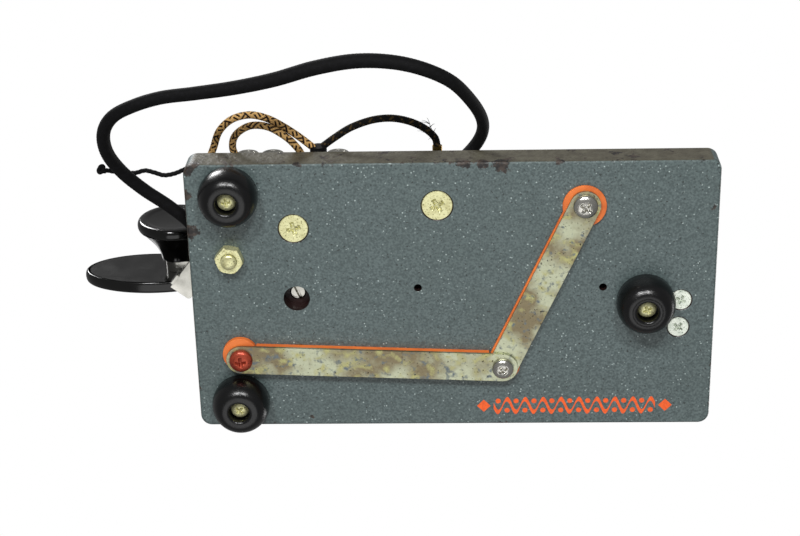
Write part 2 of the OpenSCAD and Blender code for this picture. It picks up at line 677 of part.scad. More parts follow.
// Circuit closer: an arm that swings on a bolt and meets the dash post's flange
closer_z = top_z + closer_rise;
closer_t = 1.5;
closer_hub_r = 7;
closer_turn = 127.5;
closer_edge = 7;
closer_reach = dash_at[1] - closer_at[1] - closer_l - 0.5;
closer_knob_at = [closer_l - 12, closer_edge - closer_w / 2];
module closer_arm() {
    color([0.86, 0.87, 0.86]) at(closer_at, closer_z) rotate([0, 0, closer_turn]) difference() {
        union() {
            z_rod(closer_hub_r, 0, closer_t);
            box(0, closer_l - 1, closer_edge - closer_w, closer_edge, 0, closer_t);
            box(closer_l - 2, closer_l, closer_edge - closer_w + 1, closer_edge, 0, closer_t);
            translate([closer_l - 1, closer_edge - closer_w + 1, 0]) z_rod(1, 0, closer_t);
            box(closer_l - 5.6, closer_l - 1.9, closer_edge - 0.1, closer_edge + 0.9, -1.5, closer_t);
            at(closer_knob_at) z_rod(1.4, -0.7, closer_t);
        }
        z_rod(closer_bolt_r + running_fit, -1, closer_t + 1);
    }
}
module closer_knob() {
    color([0.1, 0.1, 0.1]) at(closer_at, closer_z + closer_t) rotate([0, 0, closer_turn]) at(closer_knob_at)
        rotate_extrude() polygon([
            [0, 0], [2.6, 0], [2.2, 1.6], [2.8, 2.8], [4, 3.5], [4.2, 4.4], [3.9, 5.4], [3, 6], [0, 6]
        ]);
}
module closer_bolt() {
    head_z = closer_z + closer_t + 0.15;
    color([0.85, 0.8, 0.5]) at(closer_at) {
        z_rod(closer_bolt_r, base_z - 4.2, head_z + 1);
        rotate_extrude() polygon([
            [0, base_z - 5], [1.2, base_z - 4.9], [2, base_z - 4.6], [closer_bolt_r, base_z - 4.1],
            [0, base_z - 4.1]
        ]);
        translate([0, 0, head_z]) knurled(4.2, 2.8);
    }
}
module closer_hex_nut() {
    across = 8;
    color([0.85, 0.8, 0.5]) at(closer_at) difference() {
        rotate([0, 0, 12]) translate([0, 0, base_z - 3.4])
            cylinder(r = across / 2 / cos(30), h = 3.4, $fn = 6);
        z_rod(closer_bolt_r + screw_fit, base_z - 5, base_z + 1);
    }
}
module closer_bushing() {
    color([0.85, 0.35, 0.15]) at(closer_at) difference() {
        z_rod(6, top_z, closer_z - 0.15);
        z_rod(closer_bolt_r + screw_fit, top_z - 1, closer_z + 1);
    }
}

// Straps under the base, held off it by fibre insulation
module left_strap() {
    color([0.78, 0.8, 0.68]) difference() {
        link(dash_at, dot_at, strap_w, left_strap_z, left_strap_z + strap_t);
        for (p = [dash_at, dot_at]) at(p) z_rod(post_screw_r + screw_fit, left_strap_z - 1, base_z);
    }
}
module right_strap() {
    color([0.78, 0.8, 0.68]) difference() {
        link(dot_at, line_at, strap_w, right_strap_z, right_strap_z + strap_t);
        for (p = [dot_at, line_at]) at(p) z_rod(post_screw_r + screw_fit, right_strap_z - 1, base_z);
    }
}
module left_fibre_strip() {
    z0 = left_strap_z + strap_t;
    color([0.9, 0.42, 0.2]) difference() {
        link(dash_at, dot_at, strap_w, z0, base_z);
        at(dash_washer_at) z_rod(dash_washer_r + 0.4, z0 - 1, base_z + 1);
        at(dot_at) z_rod(strap_w / 2 + 1.8, z0 - 1, base_z + 1);
    }
}
module right_fibre_strip() {
    z0 = right_strap_z + strap_t;
    color([0.9, 0.42, 0.2]) difference() {
        union() {
            link(dot_at + strip_shift, line_at + strip_shift, strap_w, z0, base_z);
            at(dot_at) z_rod(strap_w / 2 + 0.7, z0, base_z);
            at(line_at + [-0.2, 0.5]) z_rod(line_washer_r, z0, base_z);
        }
        for (p = [dot_at, line_at]) at(p) z_rod(post_screw_r + screw_fit, z0 - 1, base_z + 1);
    }
}
module fibre_washers() {
    hole = post_screw_r + screw_fit;
    color([0.9, 0.42, 0.2]) {
        difference() {
            at(dash_washer_at) z_rod(dash_washer_r, left_strap_z + strap_t, base_z);
            at(dash_at) z_rod(hole, left_strap_z, base_z + 1);
        }
        for (p = [dash_at, dot_at, line_at]) at(p) difference() {
            union() {
                z_rod(washer_r, top_z, top_z + washer_t);
                z_rod(bushing_r, base_z, top_z + washer_t);
            }
            z_rod(hole, base_z - 1, top_z + washer_t + 1);
        }
    }
}
module dash_post_screw() {
    color([0.6, 0.27, 0.18]) at(dash_at)
        pan_screw(3.7, 2.2, post_screw_r, left_strap_z, line_seat + 11, 10);
}
module dot_post_screw() {
    color([0.82, 0.82, 0.8]) at(dot_at)
        pan_screw(3.4, 2.2, post_screw_r, left_strap_z, line_seat + 11, 35);
}
module line_post_screw() {
    color([0.82, 0.82, 0.8]) at(line_at)
        pan_screw(3.8, 2.2, post_screw_r, right_strap_z, line_seat + binding_h - 3, 60);
}

// Cord, its whipped end and its flat connecting wedge
module cord() { color([0.06, 0.06, 0.07]) tube(CORD, cord_d / 2); }
module cord_whipping() {
    color([0.08, 0.08, 0.08]) at([CORD[0][0], 0], CORD[0][2]) y_rod(cord_d / 2 + 0.6, -46.2, -42.6);
}
wedge_at = CORD[len(CORD) - 1];
wedge_t = 5.2;
module wedge_body() {
    color([0.12, 0.1, 0.09]) translate([wedge_at[0], wedge_at[1], top_z]) {
        box(-2, 24, -6.5, 6.5, 0, wedge_t);
        translate([24, 0, 0]) box(-1, 22, -4, 4, wedge_t / 2 - 0.8, wedge_t / 2 + 0.8);
    }
}
module wedge_plates() {
    color([0.8, 0.66, 0.4]) translate([wedge_at[0] + 24, wedge_at[1], top_z]) {
        box(0, 21.5, -3.8, 3.8, wedge_t / 2 + 0.8, wedge_t / 2 + 1.7);
        box(0, 21.5, -3.8, 3.8, wedge_t / 2 - 1.7, wedge_t / 2 - 0.8);
    }
}
module gold_conductor() { color([0.7, 0.52, 0.3]) tube(GOLD, conductor_d / 2); }
module black_conductor() { color([0.08, 0.08, 0.08]) tube(BLACK, conductor_d / 2); }
module strain_string() { color([0.06, 0.06, 0.07]) tube(STRING, string_d / 2); }
module string_knot() {
    color([0.06, 0.06, 0.07]) translate(STRING[len(STRING) - 1] - [1, 0.3, 0.4]) sphere(r = 1.9);
}

// Lugs: a ring under each thumb nut and a crimped barrel that holds the conductor's end
module lug(turn) {
    rotate([0, 0, turn]) difference() {
        union() {
            z_rod(4, 0, lug_t);
            box(0, 8.6, -2, 2, 0, lug_t);
            translate([0, 0, lug_t]) x_rod(conductor_d / 2 + 0.4, 7.6, 12.2);
        }
        z_rod(stud_r + screw_fit, -1, 2);
        translate([0, 0, -4]) z_rod(20, 0, 4);
    }
}
module conductor_lugs() {
    color([0.8, 0.66, 0.4]) {
        at(ground_at, top_z + binding_h) lug(-90);
        at(line_at, line_seat + binding_h) lug(180);
    }
}

place() base();
place() front_feet();
place() rear_foot();
place() foot_screws();
place() yoke();
place() yoke_screws();
place() lower_trunnion_screw();
place() upper_trunnion_screw();
place() trunnion_locknut();
place() main_lever();
place() finger_knob();
place() thumb_paddle();
place() paddle_screw();
place() pendulum_spring();
place() leaf_screw();
place() pendulum_hub();
place() pendulum_rod();
place() dot_spring();
place() pendulum_weight();
place() weight_thumbscrew();
place() dash_post();
place() dot_post();
place() dash_contact_screw();
place() dot_contact_screw();
place() front_stop_screw();
place() back_stop_screw();
place() tension_screw();
place() lever_spring();
place() adjuster_locknuts();
place() damper_bracket();
place() damper_wheel();
place() damper_pin();
place() damper_screws();
place() ground_post();
place() line_post();
place() ground_thumb_nut();
place() line_thumb_nut();
place() ground_post_screw();
place() closer_arm();
place() closer_knob();
place() closer_bolt();
place() closer_hex_nut();
place() closer_bushing();
place() left_strap();
place() right_strap();
place() left_fibre_strip();
place() right_fibre_strip();
place() fibre_washers();
place() dash_post_screw();
place() dot_post_screw();
place() line_post_screw();
place() cord();
place() cord_whipping();
place() wedge_body();
place() wedge_plates();
place() gold_conductor();
place() black_conductor();
place() strain_string();
place() string_knot();
place() conductor_lugs();
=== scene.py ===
import json
import math

import bmesh
import bpy
import numpy as np
from mathutils import Matrix, Vector


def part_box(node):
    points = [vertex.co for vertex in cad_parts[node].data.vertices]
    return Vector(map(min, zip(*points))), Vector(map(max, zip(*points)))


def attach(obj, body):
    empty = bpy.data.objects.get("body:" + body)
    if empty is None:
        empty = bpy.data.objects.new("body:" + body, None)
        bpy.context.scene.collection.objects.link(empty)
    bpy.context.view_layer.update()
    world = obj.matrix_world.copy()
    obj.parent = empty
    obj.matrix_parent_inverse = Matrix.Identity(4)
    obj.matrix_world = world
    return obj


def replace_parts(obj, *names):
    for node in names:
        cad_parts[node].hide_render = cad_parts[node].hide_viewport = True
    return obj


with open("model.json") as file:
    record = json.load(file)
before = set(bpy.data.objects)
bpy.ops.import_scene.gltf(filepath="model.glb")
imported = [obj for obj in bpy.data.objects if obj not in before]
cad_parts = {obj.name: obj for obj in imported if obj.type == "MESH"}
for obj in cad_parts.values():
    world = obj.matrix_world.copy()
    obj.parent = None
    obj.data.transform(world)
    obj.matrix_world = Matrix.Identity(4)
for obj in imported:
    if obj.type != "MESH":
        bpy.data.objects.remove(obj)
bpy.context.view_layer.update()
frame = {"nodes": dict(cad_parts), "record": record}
nodes = frame["nodes"]
body_of = {name: body for body, names in frame["record"]["behaviour"]["bodies"].items() for name in names}
slot_of = {part["node"]: part["material_slot"] for part in frame["record"]["subparts"]}
scene = bpy.context.scene
MM = 0.001
X, Y, Z = np.eye(3)


# ---------- shader helpers ----------

def colour(code):
    """An sRGB hex colour turned to linear light, with full alpha."""
    value = np.array([int(code[i:i + 2], 16) for i in (1, 3, 5)]) / 255
    linear = np.where(value <= 0.04045, value / 12.92, ((value + 0.055) / 1.055) ** 2.4)
    return (*linear, 1.0)


def add(tree, kind, settings=(), sockets=(), out=None):
    """Adds one shader node and gives the output that it is for. Settings are its own properties, and
    sockets its inputs by name or number, each a value or another node's output."""
    made = tree.nodes.new("ShaderNode" + kind)
    for name, value in dict(settings).items():
        setattr(made, name, value)
    for name, value in dict(sockets).items():
        found = made.inputs[name] if isinstance(name, int) else next(
            s for s in made.inputs if s.name == name and s.enabled)
        if isinstance(value, bpy.types.NodeSocket):
            tree.links.new(value, found)
        else:
            found.default_value = value
    return made.outputs[out] if out else next((o for o in made.outputs if o.enabled), None)


def per_mm(size):
    """The texture scale at which one cell is size millimetres across."""
    return 1 / (size * MM)


def new_material(name):
    material = bpy.data.materials.new(name)
    material.use_nodes = True
    tree = material.node_tree
    tree.nodes.clear()
    return material, tree


def close_material(tree, shader):
    add(tree, "OutputMaterial", {}, {"Surface": shader})


# ---------- camera, light and floor ----------

def make_camera():
    """Looks up at the underside from in front of and below the key, about 24 degrees off its upright."""
    data = bpy.data.cameras.new("camera")
    data.lens = 80.64
    data.clip_start = 0.01
    camera = bpy.data.objects.new("camera", data)
    scene.collection.objects.link(camera)
    turn = (Matrix.Rotation(math.radians(-0.47), 3, "Z") @ Matrix.Rotation(math.radians(2.06), 3, "Y")
            @ Matrix.Rotation(math.radians(24.0), 3, "X"))
    axes = turn.transposed() @ Matrix.Diagonal((1, -1, -1))
    camera.matrix_world = Matrix.Translation((0.0244, -0.2386, -0.5028)) @ axes.to_4x4()
    scene.camera = camera


def make_lamp(name, place, aim, size, power, colour=(1, 1, 1)):
    """A square softbox that faces the point aim."""
    data = bpy.data.lights.new(name, "AREA")
    data.size, data.energy, data.color = size, power, colour
    lamp = bpy.data.objects.new(name, data)
    lamp.location = place
    lamp.rotation_mode = "QUATERNION"
    lamp.rotation_quaternion = (Vector(aim) - Vector(place)).to_track_quat("-Z", "Y")
    scene.collection.objects.link(lamp)


def make_light():
    """Soft studio light: the camera sees a white backdrop, and the key is lit by a dimmer room, two small
    softboxes below, a wide panel that its flat metal faces mirror, and a key and a fill above."""
    world = bpy.data.worlds.new("white_studio")
    world.use_nodes = True
    tree = world.node_tree
    room = tree.nodes["Background"]
    room.inputs["Color"].default_value = (1, 1, 1, 1)
    seen = add(tree, "LightPath", out="Is Camera Ray")
    strength = add(tree, "MapRange", {}, {"Value": seen, "To Min": 0.24, "To Max": 1.0})
    tree.links.new(strength, room.inputs["Strength"])
    scene.world = world
    scene.view_settings.view_transform = "Standard"
    heart = (0.02, 0, 0.01)
    make_lamp("left_softbox", (-0.22, -0.68, -0.58), heart, 0.14, 4.2)
    make_lamp("right_softbox", (0.13, -0.70, -0.58), heart, 0.14, 4.2)
    make_lamp("mirror_panel", (0.02, 0.42, -0.95), heart, 0.9, 2.6)
    make_lamp("upper_key", (-0.5, -0.55, 0.8), heart, 0.35, 7)
    make_lamp("upper_fill", (0.7, 0.4, 0.6), heart, 0.7, 4)


def make_floor():
    """A plain pale floor under the feet. It shows from above only, and throws nothing onto the underside."""
    half = 1.5
    corners = [(-half, -half, 0), (half, -half, 0), (half, half, 0), (-half, half, 0)]
    mesh = bpy.data.meshes.new("floor")
    mesh.from_pydata(corners, [], [(0, 1, 2, 3)])
    floor = bpy.data.objects.new("floor", mesh)
    scene.collection.objects.link(floor)
    floor.visible_shadow = floor.visible_diffuse = floor.visible_glossy = False
    material, tree = new_material("matt_white_board")
    below = add(tree, "NewGeometry", out="Backfacing")
    board = add(tree, "BsdfDiffuse", {}, {"Color": colour("#ECEBE8")})
    gone = add(tree, "BsdfTransparent")
    close_material(tree, add(tree, "MixShader", {}, {0: below, 1: board, 2: gone}))
    mesh.materials.append(material)


# ---------- mesh helpers ----------

def make_piece(name, points, faces, body, slot, uv=None, tone=None, crease=35, finish=None):
    """Puts arrays of points and faces into a mesh. Doubles are merged, so poles and seams close, and edges
    that turn more than crease degrees stay crisp."""
    mesh = bpy.data.meshes.new(name)
    corners = np.concatenate([f.ravel() for f in faces]).astype(np.int32)
    sizes = np.concatenate([np.full(len(f), f.shape[1]) for f in faces])
    mesh.vertices.add(len(points))
    mesh.vertices.foreach_set("co", np.asarray(points, np.float32).ravel())
    mesh.loops.add(len(corners))
    mesh.loops.foreach_set("vertex_index", corners)
    mesh.polygons.add(len(sizes))
    mesh.polygons.foreach_set("loop_start", (np.cumsum(sizes) - sizes).astype(np.int32))
    mesh.update(calc_edges=True)
    if uv is not None:
        layer = mesh.uv_layers.new(name="UVMap")
        layer.data.foreach_set("uv", np.asarray(uv, np.float32)[corners].ravel())
    if tone is not None:
        layer = mesh.attributes.new("tone", "FLOAT", "POINT")
        layer.data.foreach_set("value", np.asarray(tone, np.float32))
    shape = bmesh.new()
    shape.from_mesh(mesh)
    bmesh.ops.remove_doubles(shape, verts=shape.verts, dist=1e-7)
    shape.to_mesh(mesh)
    shape.free()
    return show(name, mesh, body, slot, crease, finish)


def show(name, mesh, body, slot, crease=35, finish=None, flats=False):
    """Shows a finished mesh as a piece that rides on a body, with its slot's finish or one of its own. With
    flats, faces square to an axis are shaded dead flat."""
    normals = np.empty(len(mesh.polygons) * 3, np.float32)
    mesh.polygons.foreach_get("normal", normals)
    flat = np.abs(normals.reshape(-1, 3)).max(axis=1) > 0.99999
    mesh.set_sharp_from_angle(angle=math.radians(crease))
    mesh.polygons.foreach_set("use_smooth", ~flat if flats else np.ones(len(flat), bool))
    mesh.materials.clear()
    mesh.materials.append(finish or FINISHES[slot])
    piece = bpy.data.objects.new(name, mesh)
    scene.collection.objects.link(piece)
    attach(piece, body)
    return piece


def joined(parts):
    """One pair of points and faces from several."""
    starts = np.cumsum([0] + [len(points) for points, faces in parts])
    faces = [f + start for (points, some), start in zip(parts, starts) for f in some]
    return np.concatenate([points for points, some in parts]), faces


def grid(rows, columns, close_rows=False, close_columns=True):
    """The quads of a grid of points, row by row, that may close on itself each way."""
    row = np.arange(rows if close_rows else rows - 1)[:, None]
    column = np.arange(columns if close_columns else columns - 1)[None, :]
    up, over = (row + 1) % rows, (column + 1) % columns
    row, up = row * columns, up * columns
    return np.stack([row + column, row + over, up + over, up + column], -1).reshape(-1, 4)


def rounded(corners, radius, closed=False):
    """An outline whose corners are rounded: each becomes a curve of five points, which starts and ends at
    the radius from the corner, or just short of halfway along a shorter side."""
    corners = np.asarray(corners, float)
    before, after = np.roll(corners, 1, 0) - corners, np.roll(corners, -1, 0) - corners
    long_before, long_after = (np.linalg.norm(v, axis=1, keepdims=True) + 1e-12 for v in (before, after))
    reach = np.minimum(radius, np.minimum(long_before, long_after) * 0.49)
    start, end = corners + before / long_before * reach, corners + after / long_after * reach
    t = np.linspace(0, 1, 5)[None, :, None]
    curves = start[:, None] * (1 - t) ** 2 + corners[:, None] * 2 * t * (1 - t) + end[:, None] * t ** 2
    if closed:
        return curves.reshape(-1, 2)
    return np.concatenate([corners[:1], curves[1:-1].reshape(-1, 2), corners[-1:]])


def fine(profile, step):
    """A profile with points added so that none of its sides is longer than step."""
    profile = np.asarray(profile, float)
    count = np.maximum(1, np.ceil(np.linalg.norm(np.diff(profile, axis=0), axis=1) / step)).astype(int)
    index = np.repeat(np.arange(len(count)), count)
    share = np.concatenate([np.arange(n) / n for n in count])
    points = profile[index] + (profile[index + 1] - profile[index]) * share[:, None]
    return np.concatenate([points, profile[-1:]])


def turned(profile, around=48, closed=False):
    """A surface turned about Z: each profile point (radius, height) goes once round the axis. The profile
    runs so that the outside is on its right."""
    profile = np.asarray(profile, float)
    angle = np.arange(around) / around * 2 * math.pi
    radius, height = profile[:, :1], profile[:, 1:]
    points = np.stack([radius * np.cos(angle), radius * np.sin(angle), height + 0 * angle], -1)
    return points.reshape(-1, 3), [grid(len(profile), around, closed)]


def polar(points):
    """Each point's distance from Z and its angle round it."""
    return np.hypot(points[:, 0], points[:, 1]), np.arctan2(points[:, 1], points[:, 0])


def drawn_in(points, scale):
    """Points drawn in towards Z by a scale each, at the same height."""
    return points * np.stack([scale, scale, np.ones_like(scale)], -1)


def threaded(points, low, high, pitch, depth):
    """A screw thread: between two heights the radius dips by depth in a V that climbs one pitch a turn."""
    radius, angle = polar(points)
    phase = (points[:, 2] / pitch - angle / (2 * math.pi)) % 1
    fade = np.clip(np.minimum(points[:, 2] - low, high - points[:, 2]) / pitch, 0, 1)
    return drawn_in(points, 1 - depth * np.abs(2 * phase - 1) * fade / np.maximum(radius, depth))


def knurled(points, low, high, rim, teeth, depth):
    """Straight knurling: near the rim, between two heights, the radius dips by depth in rounded grooves."""
    radius, angle = polar(points)
    inside = np.minimum(points[:, 2] - low, high - points[:, 2])
    fade = np.clip(inside / depth / 1.5, 0, 1) * (radius > rim * 0.93)
    return drawn_in(points, 1 - depth * np.cos(angle * teeth / 2) ** 2 * fade / rim)


def sunk(points, depth):
    """Points of a head's face sunk towards -Z, each by its own depth. What lies lower than the face
    stays."""
    face = points[:, 2] > -0.6
    return points - np.stack([0 * depth, 0 * depth, depth * face], -1)


def crossed(points, reach, width, deep, turn):
    """A cross recess: each arm's depth grows from its end and its sides to a flat floor, a little deeper in
    the middle, and the deeper arm counts."""
    c, s = math.cos(turn), math.sin(turn)
    across, along = points[:, 0] * c + points[:, 1] * s, points[:, 1] * c - points[:, 0] * s
    arms = []
    for a, b in ((np.abs(across), np.abs(along)), (np.abs(along), np.abs(across))):
        from_end = np.clip((reach - a) / (reach * 0.35), 0, 1)
        from_side = np.clip((width / 2 - b) / (width * 0.2), 0, 1)
        arms.append(np.minimum(from_end, from_side))
    middle = np.clip(1 - np.hypot(across, along) / (reach * 0.55), 0, 1)
    return sunk(points, deep * np.maximum(*arms) * (0.75 + 0.25 * middle))


def slotted(points, width, deep, turn):
    """A straight slot, right across the head."""
    b = np.abs(points[:, 1] * math.cos(turn) - points[:, 0] * math.sin(turn))
    return sunk(points, deep * np.clip((width / 2 - b) / (width * 0.15), 0, 1))


def put(shape, place, up=Z):
    """A shape made about Z, in millimetres, put at a place in metres with its Z along up, a whole axis."""
    points, faces = shape
    up = np.asarray(up, float)
    side = X if abs(up[0]) < 0.5 else Z
    return points @ np.array([side, np.cross(up, side), up]) * MM + np.asarray(place), faces


def run_along(path):
    """The distance along a path to each of its points."""
    return np.concatenate([[0], np.cumsum(np.linalg.norm(np.diff(path, axis=0), axis=1))])


def smooth_path(points, step):
    """A smooth curve through points, in metres, about one point each step: on each stretch a cubic takes its
    end slopes from the points on either side."""
    p = np.asarray(points, float)
    p = np.concatenate([2 * p[:1] - p[1:2], p, 2 * p[-1:] - p[-2:-1]])
    a, b, c, d = (q[:, None] for q in (p[:-3], p[1:-2], p[2:-1], p[3:]))
    t = np.linspace(0, 1, 24, endpoint=False)[None, :, None]
    curve = b + 0.5 * t * (c - a + t * (2 * a - 5 * b + 4 * c - d + t * (3 * (b - c) + d - a)))
    curve = np.concatenate([curve.reshape(-1, 3), p[-2:-1]])
    run = run_along(curve)
    even = np.linspace(0, run[-1], max(2, round(run[-1] / step)))
    return np.stack([np.interp(even, run, curve[:, k]) for k in range(3)], -1)


def around_path(path, around):
    """For a grid of rings carried along a path: each ring's distance along it, and each column's angle."""
    return run_along(path)[:, None], np.arange(around)[None, :] / around * 2 * math.pi


def carried(path, radius, around, up=Z, ease=True):
    """A round section carried along a path: at each point a ring stands square to the path, its radius given
    for every point of the grid, closed by a flat end. With ease the end rings are drawn in."""
    along = np.gradient(path, axis=0)
    along /= np.linalg.norm(along, axis=1, keepdims=True)
    side = np.cross(along, up)
    side /= np.linalg.norm(side, axis=1, keepdims=True)
    over = np.cross(side, along)
    radius = np.broadcast_to(radius, (len(path), around)).copy()
    if ease:
        radius[[0, -1]] *= 0.55
    run, angle = around_path(path, around)
    ring = side[:, None] * np.cos(angle)[..., None] + over[:, None] * np.sin(angle)[..., None]
    points = (path[:, None] + ring * radius[..., None]).reshape(-1, 3)
    last = (len(path) - 1) * around
    ends = [np.arange(around)[None, :], last + np.arange(around)[None, ::-1]]
    uv = np.stack(np.broadcast_arrays(angle / (2 * math.pi), run), -1).reshape(-1, 2)
    return points, [grid(len(path), around)[:, ::-1], *ends], uv


def braid(run, angle, carriers, pitch):
    """The weave of a round braid: two sets of strands wind opposite ways, each a rounded ridge that passes
    over one strand and under the next. Gives the height from 0 to 1, whether the first set is on top, and
    the number of the strand on top."""
    one = carriers * (angle / (2 * math.pi) + run / pitch)
    two = carriers * (angle / (2 * math.pi) - run / pitch)
    first = (np.floor(one) + np.floor(two)) % 2 == 0
    ridge_one, ridge_two = (np.sqrt(np.clip(1 - (2 * (v % 1) - 1) ** 2, 0, 1)) for v in (one, two))
    height = np.where(first, ridge_one * (0.55 + 0.45 * ridge_two), ridge_two * (0.55 + 0.45 * ridge_one))
    return height, first, np.where(first, np.floor(one), np.floor(two))


def cad_box(node):
    """A CAD node's lowest and highest corners as arrays."""
    low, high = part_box(node)
    return np.array(low), np.array(high)


def cad_copy(node):
    """A copy of a CAD node's mesh with its doubles merged and its flat faces made whole."""
    shape = bmesh.new()
    shape.from_mesh(nodes[node].data)
    bmesh.ops.remove_doubles(shape, verts=shape.verts, dist=1e-6)
    bmesh.ops.dissolve_limit(shape, angle_limit=math.radians(0.5), verts=shape.verts, edges=shape.edges)
    return shape


def ease_node(node, width, inset=None):
    """Stands for a CAD node with the same shape, its sharp edges eased by width millimetres, or only the
    ones within inset millimetres of its box's upright sides."""
    shape = cad_copy(node)
    low, high = cad_box(node)
    centre, half = (low + high) / 2, (high - low) / 2

    def outer(edge):
        away = np.abs(np.array((edge.verts[0].co + edge.verts[1].co) / 2) - centre)[:2] - half[:2]
        return inset is None or away.max() > -inset * MM

    sharp = [e for e in shape.edges
             if len(e.link_faces) == 2 and e.calc_face_angle(0) > math.radians(40) and outer(e)]
    bmesh.ops.bevel(shape, geom=sharp, offset=width * MM, segments=2, profile=0.5, affect="EDGES",
                    clamp_overlap=True)
    bmesh.ops.triangulate(shape, faces=[f for f in shape.faces if len(f.verts) > 4])
    mesh = bpy.data.meshes.new(node + "_eased")
    shape.to_mesh(mesh)
    shape.free()
    piece = show(node + "_eased", mesh, body_of[node], slot_of[node], 22, flats=True)
    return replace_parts(piece, node)


def solids(node):
    """The boxes of a CAD node's separate solids, lowest X first. Every vertex takes the lowest label that
    its triangles hold, over and over, until no label changes."""
    mesh = nodes[node].data
    place = np.empty(len(mesh.vertices) * 3)
    mesh.vertices.foreach_get("co", place)
    corner = np.empty(len(mesh.loops), int)
    mesh.loops.foreach_get("vertex_index", corner)
    place, same = np.unique(np.round(place.reshape(-1, 3), 6), axis=0, return_inverse=True)
    triangle = same.ravel()[corner].reshape(-1, 3)
    label, old = np.arange(len(place)), None
    while old is None or (label != old).any():
        old = label.copy()
        np.minimum.at(label, triangle, label[triangle].min(1, keepdims=True) + 0 * triangle)
    groups = [place[label == k] for k in np.unique(label)]
    boxes = [(g.min(0), g.max(0)) for g in groups]
    return sorted(boxes, key=lambda box: (round(box[0][0], 4), box[0][1]))


# ---------- finishes ----------

def speckle(tree, place, size, low, high, detail=2.0):
    """Noise of about size millimetres a cell, stretched so that low to high becomes 0 to 1."""
    noise = add(tree, "TexNoise", {}, {"Vector": place, "Scale": per_mm(size), "Detail": detail})
    return add(tree, "MapRange", {"clamp": True}, {"Value": noise, "From Min": low, "From Max": high})


# Patches where the enamel is worn off the underside: (x, y, 0) from the middle of the base, and a rough
# radius, in millimetres
WORN_SPOTS = [
    ((-81, -44.5, 0), 2.6), ((-82, -35, 0), 1.8), ((-81, -23, 0), 3.0), ((-82.4, -6, 0), 1.0),
    ((-82.5, 12, 0), 0.9), ((-82, 32, 0), 1.2), ((4, -45.6, 0), 2.0), ((9, -45, 0), 2.6),
    ((15, -45, 0), 2.8), ((33, -45.5, 0), 1.3), ((-47, -45, 0), 1.3), ((-46, 42.6, 0), 0.9),
    ((81, -30, 0), 1.0)]
MIX = {"data_type": "RGBA"}
CLAMPED = {"clamp": True}
ADD, MULTIPLY, SUBTRACT, MOST, LEAST, LESS = (
    {"operation": kind} for kind in ("ADD", "MULTIPLY", "SUBTRACT", "MAXIMUM", "MINIMUM", "LESS_THAN"))


def hammered_paint(tree, place, grain, cloud):
    """The enamel's colour with painted light and shade: fine noise paints it dark as shade in the pits and
    pale between them, clouded, with a few painted highlights on the pits' rims in patches, and small dark
    specks of painted shade in the deepest pits."""
    pale = add(tree, "Mix", MIX, {"Factor": cloud, "A": colour("#5D6B6B"), "B": colour("#586665")})
    # painted shade: the fine grain noise darkens the enamel in spots as shade in the pits, and leaves it
    # pale between them
    paint = add(tree, "Mix", MIX, {"Factor": grain, "A": colour("#485454"), "B": pale})
    # painted highlight: pale spots in patches stand for light glinting on the pits' rims
    painted_glint = add(tree, "TexVoronoi", {"feature": "F1"}, {
        "Vector": place, "Scale": per_mm(1.5)}, out="Distance")
    painted_glint = add(tree, "MapRange", CLAMPED, {"Value": painted_glint, "From Min": 0.2, "From Max": 0.08})
    painted_glint = add(tree, "Math", MULTIPLY, {0: painted_glint, 1: speckle(tree, place, 5, 0.42, 0.62)})
    paint = add(tree, "Mix", MIX, {"Factor": painted_glint, "A": paint, "B": colour("#B4C2C0")})
    # painted shade: small near-black specks stand for the shade in the deepest pits
    painted_pit_shade = speckle(tree, place, 0.9, 0.685, 0.72, 1.0)
    return add(tree, "Mix", MIX, {"Factor": painted_pit_shade, "A": paint, "B": colour("#2E3534")})


def worn_through(tree, place, edge):
    """Where the enamel is gone, from 0 to 1: raggedly along the base's rim and at the worn spots."""
    low, _ = cad_box("base")
    ragged = add(tree, "TexNoise", {}, {
        "Vector": place, "Scale": per_mm(6), "Detail": 7.0, "Roughness": 0.72})
    ragged = add(tree, "MapRange", {"clamp": False}, {
        "Value": ragged, "From Min": 0.35, "From Max": 0.75, "To Min": -2.2 * MM, "To Max": 2.6 * MM})
    rim = add(tree, "Math", LEAST, {0: edge, 1: -0.4 * MM})
    rim = add(tree, "Math", ADD, {0: rim, 1: ragged})
    worn = add(tree, "MapRange", CLAMPED, {"Value": rim, "From Min": 0.0, "From Max": 0.5 * MM})
    for spot, size in WORN_SPOTS:
        heart = np.array(spot) * MM + base_middle + (0, 0, low[2])
        gap = add(tree, "VectorMath", {"operation": "DISTANCE"}, {0: place, 1: tuple(heart)}, out="Value")
        gap = add(tree, "Math", SUBTRACT, {0: size * MM, 1: gap})
        gap = add(tree, "Math", ADD, {0: gap, 1: ragged})
        gap = add(tree, "MapRange", CLAMPED, {"Value": gap, "From Min": 0.0, "From Max": 0.4 * MM})
        worn = add(tree, "Math", MOST, {0: worn, 1: gap})
    return worn


